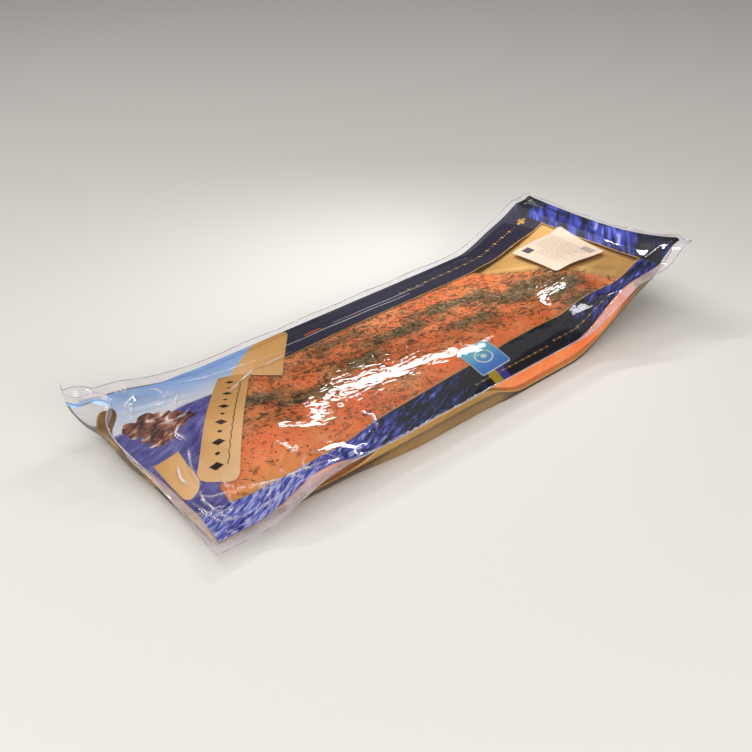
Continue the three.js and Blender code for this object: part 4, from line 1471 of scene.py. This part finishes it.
# The print reads across the pack, so its rows run along the label's second side.
typist = np.random.default_rng(23)
bars = []
for number in range(ROW_COUNT):
    row_u = ROW_START + ROW_PITCH * number
    place = SHORT_ROW_LEFT if number < SHORT_ROWS else ROW_LEFT
    end = ROW_RIGHT - typist.uniform(*RAGGED_END)
    while place < end:
        word = typist.uniform(*WORD_LENGTH)
        bars.append(label_bar(row_u - ROW_HALF, row_u + ROW_HALF, -place - word, -place))
        place += word + WORD_GAP
blocks = [label_bar(-25.0, -16.0, 18.0, 30.0)]
stripe_starts = ROW_LEFT + STRIPE_PITCH * np.arange(STRIPE_COUNT)
stripes = [label_bar(17.0, 26.0, start, start + STRIPE_WIDTH) for start in stripe_starts]
piece_from_grids("label_rows", bars, label_ink("label_grey_ink", LABEL_GREY), **label_slot)
piece_from_grids("label_block", blocks, label_ink("label_black_ink", LABEL_BLACK), **label_slot)
piece_from_grids("label_stripes", stripes, label_ink("label_stripe_ink", LABEL_STRIPE), **label_slot)


# ---------------------------------------------------------------------------------------------
# Stand-in surroundings: a plain pale floor, soft studio lights and the camera of the photograph.
CAMERA_PLACE = np.array([-561.0, -598.4, 519.2])
CAMERA_PITCH, CAMERA_HEADING, CAMERA_ROLL = 33.0, 49.1, -0.83
CAMERA_LENS, CAMERA_SENSOR = 47.87, 36.0
FLOOR_SIZE = 9.0
STREAK_MIDDLE = np.array([197.0, 203.0, 321.0])
STREAK_LONG, STREAK_ACROSS = np.array([-0.765, 0.634, 0.119]), np.array([-0.348, -0.561, 0.751])
STREAK_STRIPS = [
    ("streak_right", (-143.0, 0.0), (0.0, 5.0), 24.0),
    ("streak_left", (0.0, 8.0), (112.0, 18.0), 36.0),
]
STREAK_POWER = 0.13
SPARK_PLACES = [(-1036.0, 643.0, 1732.0), (468.0, 130.0, 1854.0), (-516.0, 1393.0, 1414.0)]
MIDDLE, LEFT_END = (0.0, 0.0, 0.0), (-280.0, 60.0, 0.0)
WARM, WARMER = (1.0, 0.97, 0.93), (1.0, 0.96, 0.91)
SOFTBOXES = [
    ("overhead", (300.0, 300.0, 2100.0), MIDDLE, (2.6, 2.6), 12.0, WARM),
    ("key", (-1000.0, -700.0, 1900.0), MIDDLE, (1.2, 1.2), 14.5, WARMER),
    ("left_fill", (-1500.0, 250.0, 420.0), LEFT_END, (0.8, 0.5), 12.0, WARM),
    ("front_fill", (-300.0, -1700.0, 620.0), MIDDLE, (1.4, 0.8), 24.0, WARM),
]
WORLD_LIGHT = 0.20
FLOOR_COLOUR = (208, 206, 202)


def metres(point):
    """A point of the drawing frame in the frame's metres."""
    return (np.asarray(point, float) - DRAWING_MIDDLE) / 1000.0


def look_matrix(forward, roll=0.0):
    """Rotation whose -Z looks along forward with +Y up, then rolled about it."""
    forward = unit(forward)
    right = unit(np.cross(forward, [0.0, 0.0, 1.0]))
    upward = np.cross(right, forward)
    c, s = np.cos(roll), np.sin(roll)
    return np.column_stack([c * right + s * upward, c * upward - s * right, -forward])


def stand(made, place, axes):
    """Puts an object at a place in metres with a rotation matrix."""
    matrix = np.eye(4)
    matrix[:3, :3], matrix[:3, 3] = axes, place
    made.matrix_world = Matrix(matrix.tolist())
    bpy.context.scene.collection.objects.link(made)
    return made


def area_light(name, size, power, colour=(1.0, 1.0, 1.0)):
    """A rectangular area light of a size in metres."""
    light = bpy.data.lights.new(name, "AREA")
    light.shape = "RECTANGLE"
    light.size, light.size_y = size
    light.energy, light.color = power, colour
    return light


def soft_light(name, place, aim, size, power, colour=(1.0, 1.0, 1.0)):
    """A rectangular softbox at a place in millimetres, turned to its aim."""
    place, aim = metres(place), metres(aim)
    light = area_light(name, size, power, colour)
    return stand(bpy.data.objects.new(name, light), place, look_matrix(aim - place))


floor_mesh = bpy.data.meshes.new("floor")
floor_corners = FLOOR_SIZE / 2 * np.array([(-1, -1, 0), (1, -1, 0), (1, 1, 0), (-1, 1, 0)])
floor_mesh.from_pydata(floor_corners.tolist(), [], [(0, 1, 2, 3)])
floor = bpy.data.objects.new("floor", floor_mesh)
bpy.context.scene.collection.objects.link(floor)
floor_look, floor_tree, floor_shader = start_material("pale_floor")
feed(floor_tree, floor_shader, {"Base Color": paint(*FLOOR_COLOUR), "Roughness": 0.85})
floor_mesh.materials.append(floor_look)

for name, start, stop, wide in STREAK_STRIPS:
    start, stop = np.array(start), np.array(stop)
    way = unit(stop - start)
    size = np.array([np.linalg.norm(stop - start), wide]) / 1000.0
    strip = area_light(name, size.tolist(), STREAK_POWER * size.prod() * 1000.0)
    long_way = way[0] * STREAK_LONG + way[1] * STREAK_ACROSS
    cross_way = way[0] * STREAK_ACROSS - way[1] * STREAK_LONG
    middle = (start + stop) / 2
    place = metres(STREAK_MIDDLE + middle[0] * STREAK_LONG + middle[1] * STREAK_ACROSS)
    axes = np.column_stack([long_way, cross_way, np.cross(long_way, cross_way)])
    stand(bpy.data.objects.new(name, strip), place, axes)
for number, spark in enumerate(SPARK_PLACES):
    soft_light(f"spark_{number + 1}", spark, (-270.0, 0.0, 0.0), (0.2, 0.2), 2.5)
for softbox in SOFTBOXES:
    soft_light(*softbox)
world = bpy.data.worlds.new("studio")
bpy.context.scene.world = world
world.use_nodes = True
studio_glow = {"Color": (1.0, 1.0, 1.0, 1.0), "Strength": WORLD_LIGHT}
feed(world.node_tree, world.node_tree.nodes["Background"], studio_glow)
bpy.context.scene.view_settings.view_transform = "Standard"

pitch, heading = np.radians(CAMERA_PITCH), np.radians(CAMERA_HEADING)
sight = np.array([np.cos(pitch) * np.cos(heading), np.cos(pitch) * np.sin(heading), -np.sin(pitch)])
lens = bpy.data.cameras.new("camera")
lens.lens, lens.sensor_width = CAMERA_LENS, CAMERA_SENSOR
lens.clip_start, lens.clip_end = 0.05, 50.0
camera = bpy.data.objects.new("camera", lens)
stand(camera, metres(CAMERA_PLACE), look_matrix(sight, np.radians(CAMERA_ROLL)))
bpy.context.scene.camera = camera
